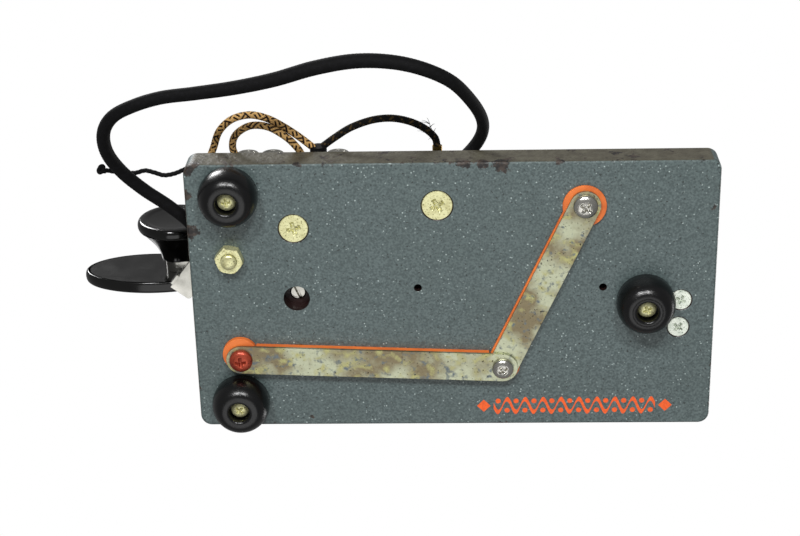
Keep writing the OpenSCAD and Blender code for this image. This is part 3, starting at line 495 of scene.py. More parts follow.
def hammered_enamel():
    """Thick blue-grey hammer-finish enamel over cast steel: shallow pits a millimetre across, darkened with
    painted shade, a few with painted highlights on their rims. The upright sides are a darker, mottled
    olive, the rim and some patches are worn through to dark oxide, and the hole walls are dark reddish oxide
    painted near-black as shade."""
    material, tree = new_material("hammered_enamel_on_steel")
    place = add(tree, "TexCoord", out="Object")
    cloud = speckle(tree, place, 16, 0.3, 0.7)
    grain = speckle(tree, place, 0.7, 0.38, 0.62)
    low, high = cad_box("base")
    away = add(tree, "VectorMath", SUBTRACT, {0: place, 1: (low + high) / 2})
    away = add(tree, "VectorMath", {"operation": "ABSOLUTE"}, {0: away})
    away = add(tree, "VectorMath", SUBTRACT, {0: away, 1: (high - low) / 2})
    x, y, z = (add(tree, "SeparateXYZ", {}, {"Vector": away}, out=axis) for axis in "XYZ")
    edge = add(tree, "Math", MOST, {0: x, 1: y})
    paint = hammered_paint(tree, place, grain, cloud)
    # the upright sides are mixed to a darker, mottled olive
    side_mottle = speckle(tree, place, 3.5, 0.35, 0.65, 5.0)
    dull = add(tree, "Mix", MIX, {"Factor": side_mottle, "A": colour("#545144"), "B": colour("#423E33")})
    side = add(tree, "MapRange", CLAMPED, {"Value": edge, "From Min": -0.3 * MM, "From Max": -0.1 * MM})
    paint = add(tree, "Mix", MIX, {"Factor": side, "A": paint, "B": dull})
    oxide = add(tree, "Mix", MIX, {
        "Factor": speckle(tree, place, 1.6, 0.42, 0.6), "A": colour("#1C1918"), "B": colour("#40362F")})
    look = add(tree, "Mix", MIX, {"Factor": worn_through(tree, place, edge), "A": paint, "B": oxide})
    # hole walls: dark reddish oxide, painted near-black as shade inside the holes
    inside = add(tree, "Math", LESS, {0: edge, 1: -1.2 * MM})
    walls = add(tree, "Math", LESS, {0: z, 1: -0.04 * MM})
    bore = add(tree, "Math", MULTIPLY, {0: inside, 1: walls})
    hole_oxide_and_shade = add(tree, "Mix", MIX, {"Factor": cloud, "A": colour("#2A1512"), "B": colour("#15100F")})
    look = add(tree, "Mix", MIX, {"Factor": bore, "A": look, "B": hole_oxide_and_shade})
    dimple = add(tree, "TexNoise", {}, {"Vector": place, "Scale": per_mm(0.9), "Detail": 3.0})
    pits = add(tree, "TexVoronoi", {"feature": "SMOOTH_F1"}, {
        "Vector": place, "Scale": per_mm(1.3)}, out="Distance")
    height = add(tree, "Math", ADD, {0: pits, 1: dimple})
    bump = add(tree, "Bump", {}, {"Height": height, "Distance": 0.16 * MM, "Strength": 0.7})
    rough = add(tree, "MapRange", {}, {"Value": grain, "To Min": 0.52, "To Max": 0.36})
    close_material(tree, add(tree, "BsdfPrincipled", {}, {
        "Base Color": look, "Roughness": rough, "Normal": bump}))
    return material


def clouded_metal(name, ground, layers, metallic, marks, rough, relief):
    """Metal whose ground colour is overlaid by layers of cloud: each has a colour, and the cell size in
    millimetres, the range and the detail of its noise. Fine marks vary the roughness and the relief."""
    material, tree = new_material(name)
    place = add(tree, "TexCoord", out="Object")
    look = colour(ground)
    for shade, *noise in layers:
        look = add(tree, "Mix", MIX, {"Factor": speckle(tree, place, *noise), "A": look, "B": colour(shade)})
    marks = speckle(tree, place, *marks)
    spread = add(tree, "MapRange", {}, {"Value": marks, "To Min": rough[0], "To Max": rough[1]})
    bump = add(tree, "Bump", {}, {"Height": marks, "Distance": relief * MM})
    close_material(tree, add(tree, "BsdfPrincipled", {}, {
        "Base Color": look, "Metallic": metallic, "Roughness": spread, "Normal": bump}))
    return material


def mottled_zinc():
    """Zinc plate gone dull and mottled with age: pale green-yellow, clouded brown, yellow and blue-grey,
    with dark flecks."""
    layers = [("#857A60", 13, 0.42, 0.58, 5.0), ("#B5B27C", 3.2, 0.52, 0.68, 6.0),
              ("#6C7578", 2.0, 0.56, 0.7, 6.0), ("#403A32", 0.8, 0.62, 0.7, 4.0)]
    return clouded_metal("mottled_aged_zinc_plate", "#BEC2A6", layers, 0.85, (0.5, 0.3, 0.7, 4.0),
                         (0.3, 0.48), 0.015)


def specked_zinc(name, light, dark, grime):
    """Passivated plate on a screw or a nut: bright, clouded, with fine specks of grime."""
    layers = [(dark, 2.2, 0.42, 0.66, 5.0), (grime, 0.55, 0.58, 0.68, 4.0)]
    return clouded_metal(name, light, layers, 0.6, (0.35, 0.3, 0.7, 3.0), (0.26, 0.42), 0.012)


def plated(name, light, dark, rough, patch=3.0):
    """Plated metal: one metal colour clouds into another over patch millimetres, with fine polishing
    marks."""
    return clouded_metal(name, light, [(dark, patch, 0.35, 0.7, 4.0)], 1.0, (0.4, 0.3, 0.7, 3.0),
                         (rough * 0.7, rough * 1.4), 0.012)


def moulded(name, light, dark, rough, grain, relief):
    """A moulded or pressed dielectric: two near shades, and a fine skin of grain and relief millimetres."""
    material, tree = new_material(name)
    place = add(tree, "TexCoord", out="Object")
    cloud = speckle(tree, place, 6, 0.35, 0.7, 4.0)
    look = add(tree, "Mix", MIX, {"Factor": cloud, "A": colour(light), "B": colour(dark)})
    skin = speckle(tree, place, grain, 0.3, 0.7, 3.0)
    spread = add(tree, "MapRange", {}, {"Value": cloud, "To Min": rough * 0.85, "To Max": rough * 1.25})
    bump = add(tree, "Bump", {}, {"Height": skin, "Distance": relief * MM})
    close_material(tree, add(tree, "BsdfPrincipled", {}, {
        "Base Color": look, "Roughness": spread, "Normal": bump}))
    return material


def woven(name, thread, tracer):
    """Braided cotton, dull with hardly a sheen: the tone attribute says which strands are tracers, and fine
    noise stands for the fibres."""
    material, tree = new_material(name)
    tone = add(tree, "Attribute", {"attribute_name": "tone"}, out="Fac")
    place = add(tree, "TexCoord", out="Object")
    fibre = speckle(tree, place, 0.25, 0.3, 0.7, 3.0)
    shade = add(tree, "CombineXYZ", {}, {"X": fibre, "Y": fibre, "Z": fibre})
    look = add(tree, "Mix", MIX, {"Factor": tone, "A": colour(thread), "B": colour(tracer)})
    look = add(tree, "Mix", {**MIX, "blend_type": "MULTIPLY"}, {"Factor": 0.5, "A": look, "B": shade})
    bump = add(tree, "Bump", {}, {"Height": fibre, "Distance": 0.03 * MM})
    close_material(tree, add(tree, "BsdfPrincipled", {}, {
        "Base Color": look, "Roughness": 0.75, "Specular IOR Level": 0.15, "Normal": bump,
        "Sheen Weight": 0.03, "Sheen Roughness": 0.4}))
    return material


def signwriting_enamel():
    """Orange brushed enamel, a little worn to a deeper shade."""
    material, tree = new_material("orange_signwriting_enamel")
    place = add(tree, "TexCoord", out="Object")
    wear = speckle(tree, place, 0.9, 0.35, 0.62, 4.0)
    look = add(tree, "Mix", MIX, {"Factor": wear, "A": colour("#E2561A"), "B": colour("#FF6414")})
    close_material(tree, add(tree, "BsdfPrincipled", {}, {"Base Color": look, "Roughness": 0.45}))
    return material


base_middle = sum(cad_box("base")) / 2 * (1, 1, 0)
FINISHES = {
    "hammered_enamel": hammered_enamel(),
    "rubber_black": moulded("moulded_rubber", "#050506", "#030304", 0.24, 0.16, 0.01),
    "zinc_yellow": specked_zinc("yellow_passivated_zinc", "#E2E0AE", "#CBC793", "#857F55"),
    "zinc_white": specked_zinc("clear_passivated_zinc", "#E9EFE2", "#CCD6C8", "#7F8A7E"),
    "nickel": plated("bright_nickel_plate", "#D6D4CC", "#A5A49C", 0.2, 8.0),
    "steel_plain": plated("bare_spring_steel", "#A9ACB2", "#7E8187", 0.28, 5.0),
    "black_plastic": moulded("polished_phenolic_moulding", "#040404", "#070706", 0.13, 0.3, 0.003),
    "strap_zinc": mottled_zinc(),
    "fibre_orange": moulded("vulcanised_red_fibre", "#E87A34", "#CC6429", 0.5, 0.4, 0.02),
    "screw_copper": specked_zinc("coppered_steel", "#B04A33", "#93392A", "#4A1A14"),
    "brass_plain": plated("lacquered_brass", "#C9A35A", "#8E7138", 0.3),
    "cord_cotton": woven("black_cotton_braid", "#060607", "#0F0F12"),
    "braid_gold": woven("gold_and_brown_braid", "#D9AE6E", "#24160D"),
    "braid_black": woven("black_braid_with_gold_tracer", "#0C0B0A", "#4A3A20"),
    "wedge_black": moulded("pressed_fibre_board", "#1C1815", "#26201B", 0.5, 0.5, 0.03),
}


# ---------- cords ----------

# The routes, in millimetres from the middle of the base, as the CAD model has them
CORD_ROUTE = [
    (-41.5, -45, 23.8), (-41.5, -39.4, 23.4), (-40.2, -34, 23.2), (-36.5, -30.3, 23.2),
    (-31.5, -29, 23.2), (-26, -30.2, 23.2), (-19, -33.8, 23.2), (-12, -37.2, 23.2), (-4, -38.6, 23.2),
    (2.6, -41, 23.4), (7.4, -45.8, 23.4), (9.8, -51.6, 20.6), (9.4, -58, 15.6), (6, -65.5, 10),
    (0.5, -72.8, 5), (-7.5, -77.6, 2.4), (-17, -80, 2.2), (-28, -80.4, 2.2), (-40, -78.4, 2.2),
    (-52, -75, 2.2), (-64, -72.6, 2.2), (-76, -71, 2.2), (-86, -69.8, 2.2), (-94.5, -67.2, 2.6),
    (-101.5, -63, 5), (-105.5, -56.5, 9), (-106, -48.5, 13.6), (-103, -40.5, 18.2), (-97, -33, 21.4),
    (-89.5, -26.5, 23), (-83.5, -20.5, 23.4), (-80, -13, 23.3), (-79.2, 2, 23.2), (-79, 19, 23.2),
    (-76.5, 28.5, 23.2), (-70.5, 35.5, 23.2), (-61, 38.6, 23.2), (-49, 39, 23.2), (-20, 38.6, 23.2),
    (10, 38, 23.6)]
GOLD_ROUTE = [
    (-42.8, -45.4, 23.8), (-47.3, -49.4, 23.4), (-52.2, -53, 23.2), (-57, -55.8, 22.8),
    (-62.4, -57, 22.8), (-68, -55.6, 22.8), (-72.2, -51.6, 23.2), (-74.4, -46, 23.8), (-76.4, -41, 24),
    (-77.6, -35.8, 23.2), (-76.4, -31.4, 22.4), (-73.4, -29, 22.3), (-69.6, -29, 22.3),
    (-66.8, -31.6, 22.4), (-66, -36.2, 23.2), (-67, -41.4, 24), (-68.4, -46, 23.8), (-67, -50.6, 22.6),
    (-62.4, -53.8, 21.6), (-57, -53.6, 21.4), (-52.2, -50.8, 21.6), (-48.8, -47.2, 22.4),
    (-46.6, -42.4, 24.2), (-45.4, -35.6, 22.8), (-41.6, -28, 22.3), (-33, -24.2, 22.3),
    (-22, -23.4, 22.3), (-8, -22.2, 22.3), (3, -21.8, 22.3), (14, -23, 23), (22, -26.6, 26.4),
    (26.6, -30, 30), (29.6, -31.2, 31.8)]
BLACK_ROUTE = [
    (-4.4, -43.2, 30.8), (-5.2, -46.2, 30.6), (-8.4, -49.8, 29.2), (-13, -52.7, 27.4), (-18.5, -54.3, 26),
    (-24.5, -54.1, 25), (-31, -52, 24.4), (-36, -49, 24), (-40.3, -45.9, 23.8)]
STRING_ROUTE = [
    (-43.8, -43.2, 21.9), (-50, -42.4, 21.8), (-60, -42.2, 21.8), (-72, -42, 21.8), (-79.6, -41.2, 21.8),
    (-83.6, -39.6, 21.8), (-87, -38.2, 21.8), (-90.4, -37.6, 22), (-93.4, -38.4, 22.3),
    (-96.4, -39, 22.6), (-99.6, -38.2, 22.7), (-103.8, -38.4, 22.4), (-106.6, -39.2, 21.7),
    (-108.6, -40, 20.8)]


def laid(route, step):
    """A route in metres in the frame, as a smooth curve with a point each step millimetres."""
    return smooth_path(np.array(route) * MM + base_middle, step * MM)


def make_cord(pieces):
    """The woven outer cord: a round braid, whose sleeve flattens and twists a little along its run."""
    path = laid(CORD_ROUTE, 0.4)
    around = 40
    run, angle = around_path(path, around)
    height, _, strand = braid(run, angle, 8, 9 * MM)
    flat = 1 + 0.05 * np.cos(2 * angle - run / (26 * MM)) + 0.03 * np.sin(run / (17 * MM))
    points, faces, uv = carried(path, 2.1 * MM * (flat - 0.05 + 0.05 * height), around)
    tone = np.where(strand % 4 == 0, 0.6, 0.1).ravel()
    piece = make_piece("woven_cord", points, faces, "frame", "cord_cotton", uv, tone, 60)
    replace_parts(piece, "cord")


def make_conductor(name, node, path, slot, tracers):
    """A braided conductor, from the cord's whipped end to its lug: eight strands each way, some of them of
    another colour."""
    around = 32
    run, angle = around_path(path, around)
    height, first, strand = braid(run, angle, 8, 6.4 * MM)
    points, faces, uv = carried(path, (1.02 + 0.16 * height) * MM, around)
    tone = (np.isin(strand % 8, tracers) | (first & (strand % 8 == tracers[0] + 4))).astype(float).ravel()
    piece = make_piece(name, points, faces, "frame", slot, uv, tone, 60)
    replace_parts(piece, node)


def make_string(pieces):
    """A thin twisted string: three plies wind round each other."""
    path = laid(STRING_ROUTE, 0.25)
    around = 18
    run, angle = around_path(path, around)
    radius = (0.62 + 0.13 * np.abs(np.cos(1.5 * (angle - run / (0.7 * MM))))) * MM
    points, faces, uv = carried(path, radius, around)
    tone = np.full(len(points), 0.2)
    piece = make_piece("twisted_strain_string", points, faces, "frame", "cord_cotton", uv, tone, 60)
    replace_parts(piece, "strain_string")


# ---------- turned pieces ----------

# The knurled heads and locknuts of the adjusting screws
ADJUSTER_R = 3.9
ADJUSTER_TEETH = 22


def arc(centre, size, start, end, count=9):
    """Points on an ellipse arc: centre + (size * cos a, size * sin a), for a from start to end in
    degrees."""
    angle = np.radians(np.linspace(start, end, count))
    return [tuple(p) for p in np.array(centre) + np.stack([np.cos(angle), np.sin(angle)], 1) * size]


def make_turned(name, node, shape, place, up, keep=False, crease=35):
    """A piece turned about Z in millimetres, put on the key. It stands for its CAD node, unless keep is
    true."""
    points, faces = put(shape, place, up)
    piece = make_piece(name, points, faces, body_of[node], slot_of[node], crease=crease)
    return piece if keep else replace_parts(piece, node)


def ends(node, up):
    """For each of a node's solids: the middle of the face that looks along up, in metres, and in
    millimetres its length that way and its size."""
    up = np.asarray(up, float)
    for low, high in solids(node):
        half = (high - low) / 2
        yield (low + high) / 2 + half * up, 2 * np.abs(half @ up) / MM, 2 * half / MM


def screw(head_r, head_h, shank_r, length, flat=False):
    """A screw whose head's face is at height 0: flat and countersunk, or a dome over a short straight
    rim."""
    if flat:
        top = [(shank_r, shank_r - head_r - 0.1), (head_r, -0.22), (head_r - 0.18, 0), (0, 0)]
    else:
        dome = arc((0, -head_h * 0.7), (head_r, head_h * 0.7), 0, 90)
        top = [(shank_r, -head_h), (head_r, -head_h)] + dome
    profile = np.concatenate([[(0, -length)], fine([(shank_r, -length)] + top, 0.22)])
    return turned(profile, 72)


def make_screws(node, name, head_r, head_h, shank_r, turns, up=-Z, flat=False, slot=False):
    """All of a node's cross-head or slotted screws, one piece each, with the turn of each recess in
    degrees. The first stands for the node."""
    for k, (place, length, size) in enumerate(ends(node, up)):
        points, faces = screw(head_r, head_h, shank_r, length, flat)
        turn = math.radians(turns[k])
        if slot:
            points = slotted(points, head_r * 0.32, head_h * 0.55, turn)
        else:
            points = crossed(points, head_r * 0.5, head_r * 0.26, head_h * 0.55, turn)
        label = f"{name}_{k + 1}" if k else name
        make_turned(label, node, (points, faces), place, up, keep=k > 0, crease=40)


def knurled_head(radius, height, teeth, bore=0.0):
    """A knurled disc from height 0 down: chamfered rims, a shallow dish in its face, straight knurling."""
    edge = min(0.5, height * 0.15)
    outside = [(radius - edge, -height), (radius, -height + edge), (radius, -edge), (radius - edge, 0)]
    face = [(radius * 0.72, 0), (radius * 0.66, -0.25)]
    profile = fine([(bore or radius * 0.3, -height)] + outside + face + [(bore, -0.25)] * (bore > 0), 0.35)
    if not bore:
        profile = np.concatenate([[(0, -height)], profile, [(0, -0.25)]])
    points, faces = turned(profile, teeth * 6, closed=bore > 0)
    return knurled(points, -height, 0, radius, teeth, 0.22), faces


def threaded_rod(radius, low, high, pitch=0.7):
    """A threaded rod with chamfered ends."""
    tip = 0.3
    outside = [(radius - tip, low), (radius, low + tip), (radius, high - tip), (radius - tip, high)]
    points, faces = turned(np.concatenate([[(0, low)], fine(outside, 0.14), [(0, high)]]), 36)
    return threaded(points, low + tip, high - tip, pitch, 0.22), faces


def make_adjuster(node, up):
    """An adjusting screw along Y: a knurled head on a threaded rod."""
    place, length, _ = next(ends(node, up))
    parts = [knurled_head(ADJUSTER_R, 5, ADJUSTER_TEETH), threaded_rod(1.75, -length, -4.8)]
    make_turned(node + "_knurled", node, joined(parts), place, up)


def make_feet():
    """Rubber feet: in profile a quarter ellipse from the widest ring down to a narrow flat that the key
    stands on, then a soft lip and a recess for the screw's head."""
    flat, recess, deep, bore = 4.9, 3.3, 4.2, 1.8
    for node in ("front_feet", "rear_foot"):
        for k, (place, height, size) in enumerate(ends(node, -Z)):
            r = size[0] / 2
            seat = [(bore, -height), (r - 0.9, -height), (r - 0.25, -height + 0.5)]
            dome = arc((flat, -height * 0.68), (r - flat, height * 0.68), 0, 90, 14)
            lip = arc((recess + 1.1, -0.7), (-1.1, 0.7), 90, 0, 8)
            profile = seat + dome + lip + [(recess, -deep), (bore, -deep)]
            shape = turned(fine(profile, 0.6), 72, closed=True)
            make_turned(f"{node}_dome_{k + 1}", node, shape, place, -Z, keep=k > 0)


def make_closer():
    """The circuit closer's hex nut, which is the smaller of a hexagon and a chamfering cone at each height,
    its bolt with a domed end, its moulded knob and its bushing."""
    across, turn = 8.0, math.radians(10)
    place, height, _ = next(ends("closer_hex_nut", -Z))
    profile = fine([(2.6, -height), (3.2, -height), (4.62, -height), (4.62, 0), (3.2, 0), (2.6, 0)], 0.3)
    points, faces = turned(profile, 96, closed=True)
    radius, angle = polar(points)
    hexagon = across / 2 / np.cos((angle + turn) % (math.pi / 3) - math.pi / 6)
    cone = 4.15 + np.minimum(-points[:, 2], points[:, 2] + height) * 1.3
    scale = np.where(radius < 3.3, 1, np.minimum(1, np.minimum(hexagon, cone) / radius))
    nut = drawn_in(points, scale), faces
    make_turned("closer_hex_nut_chamfered", "closer_hex_nut", nut, place, -Z, crease=28)

    place, length, _ = next(ends("closer_bolt", -Z))
    end = [(2.5, -length + 2.9), (2.5, -0.9)] + arc((0, -0.9), (2.5, 0.9), 0, 90, 8)
    profile = np.concatenate([[(0, -length + 2.8), (2.45, -length + 2.8)], fine(end, 0.14)])
    points, faces = turned(profile, 48)
    bolt = threaded(points, -length + 3, -0.9, 0.8, 0.25), faces
    points, faces = knurled_head(4.2, 2.8, 24)
    head = points * (1, -1, -1) + (0, 0, -length), faces
    make_turned("closer_bolt_threaded", "closer_bolt", joined([bolt, head]), place, -Z)

    place, height, _ = next(ends("closer_knob", Z))
    waist = [(0, -6), (2.6, -6), (2.25, -5), (2.2, -4.4), (2.8, -3.2), (3.9, -2.6)]
    crown = arc((3.2, -1.6), (1, 1), -30, 80, 8) + [(2.4, -0.5), (0, -0.35)]
    make_turned("closer_knob_moulded", "closer_knob", turned(rounded(waist + crown, 0.4), 48), place, Z)

    place, height, _ = next(ends("closer_bushing", Z))
    profile = [(2.6, -height), (5.7, -height), (6, -height + 0.3), (6, -0.3), (5.7, 0), (2.6, 0)]
    bushing = turned(fine(profile, 0.8), 48, closed=True)
    make_turned("closer_bushing_turned", "closer_bushing", bushing, place, Z)


def make_grips():
    """The operator's finger knob, turned about Y with a trumpet neck and a soft rim, and the oval thumb
    paddle: its outline is an ellipse, drawn in near both faces as a power of the cosine across its
    thickness."""
    place, height, size = next(ends("finger_knob", -Y))
    r = size[0] / 2
    neck = [(0, -height), (5.2, -height), (5.3, -height + 0.8), (5.6, -12.4), (6.3, -10.6), (7.3, -8.8),
            (8.8, -6.8), (10.4, -5)]
    rim = [(r - 1, -3.8)] + arc((r - 1.2, -2), (1.2, 1.9), -60, 90, 9)
    face = [(r * 0.8, -0.02), (r * 0.7, -0.35), (r * 0.4, -0.6), (0, -0.7)]
    knob = turned(rounded(neck + rim + face, 1.2), 96)
    make_turned("finger_knob_turned", "finger_knob", knob, place, -Y)

    low, high = cad_box("thumb_paddle")
    centre, half = (low + high) / 2, (high - low) / 2
    around = 96
    t = np.radians(np.linspace(-90, 90, 25))
    edge = 0.93 + 0.07 * np.cos(t) ** 0.45
    out = np.linspace(0.02, 0.96, 7)
    inner = np.concatenate([out, edge / edge.max(), out[::-1]])[:, None]
    depth = np.concatenate([np.full(7, -1.0), np.sin(t), np.full(7, 1.0)])[:, None]
    angle = np.linspace(0, 2 * math.pi, around, endpoint=False)[None, :]
    oval = np.stack([inner * np.cos(angle), depth + 0 * angle, inner * np.sin(angle)], -1)
    points = (centre + half * oval).reshape(-1, 3)
    ring = np.arange(around)[None, :]
    faces = [grid(len(inner), around), ring[:, ::-1], (len(inner) - 1) * around + ring]
    paddle = make_piece("thumb_paddle_moulded", points, faces, "lever", "black_plastic")
    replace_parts(paddle, "thumb_paddle")


def make_contacts():
    """Adjusting screws, locknuts, posts, studs and nuts: threaded rods, knurled heads and turned bodies."""
    for node, up in (("dash_contact_screw", Y), ("dot_contact_screw", Y), ("front_stop_screw", -Y),
                     ("back_stop_screw", -Y)):
        make_adjuster(node, up)
    place, length, size = next(ends("tension_screw", -Y))
    cup = turned([(0, -length), (1, -length), (1.3, -length + 0.3), (1.3, -length + 4), (2.9, -length + 4),
                  (3.2, -length + 4.3), (3.2, -length + 4.7), (2.9, -length + 5), (0, -length + 5)], 36)
    parts = [knurled_head(ADJUSTER_R, 5, ADJUSTER_TEETH), cup, threaded_rod(1.75, -length + 4.8, -4.8)]
    make_turned("tension_screw_knurled", "tension_screw", joined(parts), place, -Y)
    for k, (place, length, size) in enumerate(ends("adjuster_locknuts", Y)):
        shape = knurled_head(ADJUSTER_R, length, ADJUSTER_TEETH, 1.8)
        make_turned(f"adjuster_locknut_{k + 1}", "adjuster_locknuts", shape, place, Y, keep=k > 0)
    for node in ("ground_post", "line_post"):
        place, length, size = next(ends(node, Z))
        top = 9 - length
        groove = [(4.75, top - 6.2), (4.35, top - 5.8), (4.35, top - 5), (4.75, top - 4.6)]
        profile = [(0, -length), (4.75, -length)] + groove + [(4.75, top), (1.9, top), (0, top)]
        parts = [turned(rounded(profile, 0.25), 48), threaded_rod(2, top - 0.2, 0)]
        make_turned(node + "_turned", node, joined(parts), place, Z)
    for node in ("ground_thumb_nut", "line_thumb_nut"):
        place, length, size = next(ends(node, Z))
        make_turned(node + "_knurled", node, knurled_head(5.4, length, 28, 2.05), place, Z)
    place, length, _ = next(ends("upper_trunnion_screw", Z))
    pivot = turned([(0, -length), (1, -length), (1.2, -length + 0.3), (1.2, -15.5), (0, -15.5)], 32)
    parts = [knurled_head(4.6, 4, 26), threaded_rod(2.5, -16, -3.8, 0.8), pivot]
    make_turned("upper_trunnion_screw_knurled", "upper_trunnion_screw", joined(parts), place, Z)
    place, length, _ = next(ends("trunnion_locknut", Z))
    make_turned("trunnion_locknut_knurled", "trunnion_locknut", knurled_head(5, length, 26, 2.6), place, Z)
    place, length, _ = next(ends("lower_trunnion_screw", -Z))
    outside = [(1, -length), (1.2, -length + 0.3), (1.2, -length + 3), (2.5, -length + 3), (2.5, -0.35),
               (2.15, 0), (0.1, 0)]
    points, faces = turned(np.concatenate([[(0, -length)], fine(outside, 0.14), [(0, 0)]]), 72)
    points = threaded(points, -length + 3, -1.6, 0.8, 0.2)
    points = slotted(points, 1.0, 1.2, math.radians(-67))
    make_turned("lower_trunnion_screw_slotted", "lower_trunnion_screw", (points, faces), place, -Z)


def ring_groove(r, level):
    """A shallow groove turned round a radius, at and just above a level."""
    return [(r, level), (r - 0.35, level + 0.3), (r - 0.35, level + 0.9), (r, level + 1.2)]


def make_pendulum():
    """The sliding weight with a groove near each end, its thumbscrew, the rod, the damper's wheel and
    pin."""
    place, length, size = next(ends("pendulum_weight", X))
    r, bore = size[1] / 2, 2.05
    start = [(bore, -length), (r - 0.8, -length), (r, -length + 0.8)]
    grooves = ring_groove(r, -length + 3) + ring_groove(r, -4.2)
    profile = rounded(start + grooves + [(r, -0.8), (r - 0.8, 0), (bore, 0)], 0.2, closed=True)
    weight = turned(profile, 96, closed=True)
    make_turned("pendulum_weight_turned", "pendulum_weight", weight, place, X)

    place, length, _ = next(ends("weight_thumbscrew", Z))
    thumbscrew = joined([knurled_head(3.6, 5, 20), threaded_rod(1.5, -length, -4.8)])
    make_turned("weight_thumbscrew_knurled", "weight_thumbscrew", thumbscrew, place, Z)

    place, length, _ = next(ends("pendulum_rod", X))
    profile = [(0, -length), (1.7, -length), (2, -length + 0.3), (2, -0.6), (1.4, 0), (0, 0)]
    make_turned("pendulum_rod_ground", "pendulum_rod", turned(fine(profile, 6), 48), place, X)

    place, length, _ = next(ends("damper_wheel", Z))
    under = [(1.25, 0), (3.4, 0), (3.6, 0.5), (4.2, 0.5), (4.4, 0), (4.6, 0), (5, 0.5)]
    over = [(r, -z) for r, z in reversed(under)]
    profile = [(r, z - length) for r, z in under] + over
    wheel = turned(rounded(profile, 0.15, closed=True), 64, closed=True)
    make_turned("damper_wheel_turned", "damper_wheel", wheel, place, Z)

    place, length, _ = next(ends("damper_pin", Z))
    collar = [(0, -length), (2.3, -length), (2.6, -length + 0.3), (2.6, -length + 1.6), (0, -length + 1.6)]
    shank = [(0, -length + 1.3), (1.2, -length + 1.3), (1.2, -1.5), (0, -1.5)]
    pin = joined([turned(collar, 40), turned(shank, 32), screw(2.6, 2, 1.1, 2.5)])
    make_turned("damper_pin_turned", "damper_pin", pin, place, Z)


def make_spring():
    """The lever's coil spring: a helix about Y, radius 2.4 mm, with its last turn at each end closed up."""
    low, high = cad_box("lever_spring")
    middle_x, middle_z, wire, radius = (low[0] + high[0]) / 2, (low[2] + high[2]) / 2, 0.35 * MM, 2.4 * MM
    t = np.linspace(0, 1, 500)
    rise = np.clip((t - 0.09) / 0.82, 0, 1)
    angle = 2 * math.pi * 8 * t
    along = low[1] + wire + (high[1] - low[1] - 2 * wire) * rise
    path = np.stack([middle_x + radius * np.cos(angle), along, middle_z + radius * np.sin(angle)], -1)
    points, faces, uv = carried(path, wire, 10, up=Y, ease=False)
    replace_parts(make_piece("lever_spring_coiled", points, faces, "tension", "steel_plain"), "lever_spring")


# ---------- cord ends ----------

def make_whipping():
    """The cord's jacket end, whipped with turns of thread: in profile a row of half rounds."""
    place, length, _ = next(ends("cord_whipping", -Y))
    run = np.linspace(-length, 0, 90)
    thread = np.abs(run + length / 2) < length / 2 - 0.1
    bound = 2.48 + 0.2 * np.abs(np.sin(run * math.pi / 0.45)) * thread
    profile = [(0, -length)] + list(zip(bound, run)) + [(0, 0)]
    return make_turned("cord_end_whipping", "cord_whipping", turned(profile, 48), place, -Y)


def make_knot():
    """A thumb knot in the string: a closed three-lobed curve, (sin t + 2 sin 2t, cos t - 2 cos 2t, -1.3 sin
    3t), drawn at 0.38 mm."""
    low, high = cad_box("string_knot")
    t = np.linspace(0, 2 * math.pi, 121)
    path = np.stack([np.sin(t) + 2 * np.sin(2 * t), np.cos(t) - 2 * np.cos(2 * t), -1.3 * np.sin(3 * t)], -1)
    path = (low + high) / 2 + path * 0.38 * MM
    points, faces, uv = carried(path, 0.68 * MM, 12, up=(0.3, 0.5, 0.8), ease=False)
    tone = np.full(len(points), 0.2)
    piece = make_piece("string_knot_tied", points, faces, "frame", "cord_cotton", uv, tone, 60)
    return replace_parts(piece, "string_knot")


def make_frayed_threads():
    """Loose threads of the black conductor's braid where it enters its lug: thin tapered hairs that leave
    it in a fan and droop."""
    start = np.array(BLACK_ROUTE[1]) * MM + base_middle
    t = np.linspace(0, 1, 8)[:, None]
    hairs = []
    for k in range(14):
        spread = math.radians(25.7 * k + 11 * (k % 3))
        out = np.array([math.cos(spread) - 0.5, -0.55 - 0.3 * (k % 2), math.sin(spread)])
        long = (2.6 + 0.5 * (k % 4)) * MM
        root = start + np.array([-0.4, -1.2, -0.2]) * MM * (k % 5)
        path = root + out * long * t + np.array([0, 0.25, -0.5]) * long * t ** 2
        points, faces, uv = carried(path, (0.13 - 0.1 * t) * MM, 5, up=(0.2, 0.9, 0.4), ease=False)
        hairs.append((points, faces))
    points, faces = joined(hairs)
    make_piece("frayed_braid_threads", points, faces, "frame", "cord_cotton", tone=np.zeros(len(points)))


# ---------- painted ornament ----------

def stroke(middle_line, width, thick):
    """A painted stroke: at each point of its middle line a flat rectangle of that width across Y, closed by
    a face at each end. The points are [x, y] in metres from the middle of the base."""
    under = cad_box("base")[0][2]
    x, y = np.asarray(middle_line).T
    corners = [np.stack([x + base_middle[0], y + s * width / 2, 0 * x + z], -1)
               for s, z in ((-1, under), (1, under), (1, under - thick), (-1, under - thick))]
    points = np.stack(corners, 1).reshape(-1, 3)
    last = len(points) - 4
    return points, [grid(len(x), 4), np.array([[3, 2, 1, 0]]), last + np.array([[0, 1, 2, 3]])]


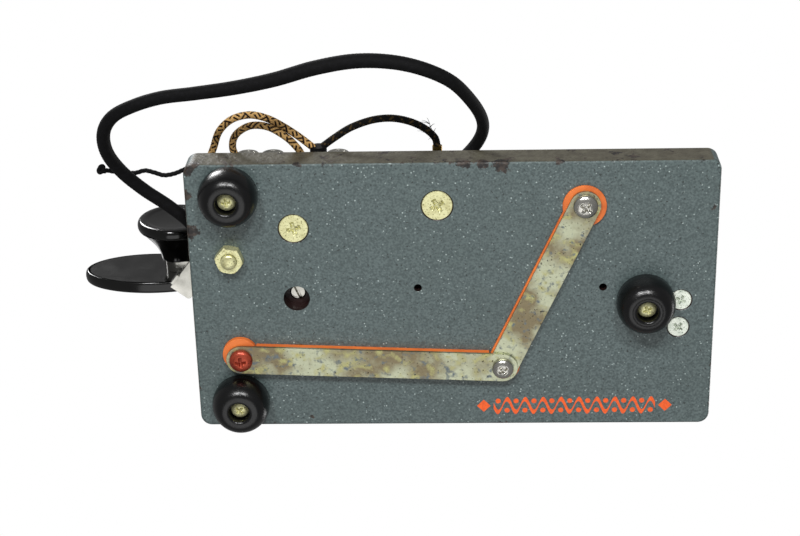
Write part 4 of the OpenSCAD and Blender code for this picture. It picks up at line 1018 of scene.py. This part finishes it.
def make_ornament():
    """Orange signwriter's enamel along one side: a wave whose stroke swells on its way up, a dot in each of
    its hollows and a lozenge at each end."""
    thick, start, end, level = 0.05 * MM, 13 * MM, 65 * MM, 38.8 * MM
    waves, reach, dot_r, lozenge_r = 9, 2.3 * MM, 0.85 * MM, 2.2 * MM
    t = np.linspace(0, 1, 400)
    phase = 2 * math.pi * waves * t
    wave = np.stack([start + (end - start) * t, level + reach * np.sin(phase)], -1)
    parts = [stroke(wave, (1.6 + 0.6 * np.cos(phase)) * MM, thick)]
    s = np.linspace(-0.999, 0.999, 25)
    level_line = np.stack([s, 0 * s], -1)
    for k in range(2 * waves):
        x, y = start + (end - start) * (k + 0.5) / (2 * waves), level + (1.7 if k % 2 else -1.7) * MM
        centre = np.array([x, y])
        parts.append(stroke(centre + level_line * dot_r, 2 * dot_r * np.sqrt(1 - s ** 2), thick))
    for x in (start - 3.2 * MM, end + 3.2 * MM):
        width = 2 * lozenge_r * (1.0005 - np.abs(s))
        parts.append(stroke(np.array([x, level]) + level_line * lozenge_r, width, thick))
    points, faces = joined(parts)
    make_piece("painted_ornament", points, faces, "frame", "fibre_orange", crease=30,
               finish=signwriting_enamel())


make_camera()
make_light()
make_floor()
wedge = [ease_node("wedge_body", 0.4), ease_node("wedge_plates", 0.12)]
make_cord([make_whipping(), *wedge])
make_conductor("gold_braided_conductor", "gold_conductor", laid(GOLD_ROUTE, 0.2), "braid_gold", [0, 3, 6])
make_conductor(
    "black_braided_conductor", "black_conductor", laid(BLACK_ROUTE, 0.2)[::-1], "braid_black", [0])
make_string([make_knot()])
make_frayed_threads()
make_ornament()
make_feet()
make_screws("foot_screws", "foot_screw", 3.0, 2.2, 1.7, (10, 50, 25))
make_screws("yoke_screws", "yoke_screw", 4.6, 2.3, 2.3, (15, 40), flat=True)
make_screws("ground_post_screw", "ground_post_screw_flush", 4.8, 2.3, 2.0, (30,), flat=True)
make_screws("damper_screws", "damper_screw", 3.35, 1.9, 1.7, (50, 62), flat=True)
make_screws("dash_post_screw", "dash_post_screw_coppered", 3.7, 2.2, 2.0, (5,))
make_screws("dot_post_screw", "dot_post_screw_domed", 3.4, 2.2, 2.0, (35,))
make_screws("line_post_screw", "line_post_screw_domed", 3.8, 2.2, 2.0, (55,))
make_screws("paddle_screw", "paddle_screw_slotted", 3.0, 1.6, 1.5, (0,), up=Y, slot=True)
make_screws("leaf_screw", "leaf_screw_slotted", 2.4, 1.5, 1.25, (20,), up=Y, slot=True)
make_closer()
make_grips()
make_contacts()
make_pendulum()
make_spring()
ease_node("base", 0.7, inset=4)
for width, plates in (
        (0.5, ("yoke", "damper_bracket")),
        (0.25, ("main_lever", "pendulum_hub", "dash_post", "dot_post")),
        (0.12, ("closer_arm", "left_strap", "right_strap", "left_fibre_strip", "right_fibre_strip",
                "fibre_washers", "conductor_lugs", "dot_spring", "pendulum_spring"))):
    for node in plates:
        ease_node(node, width)
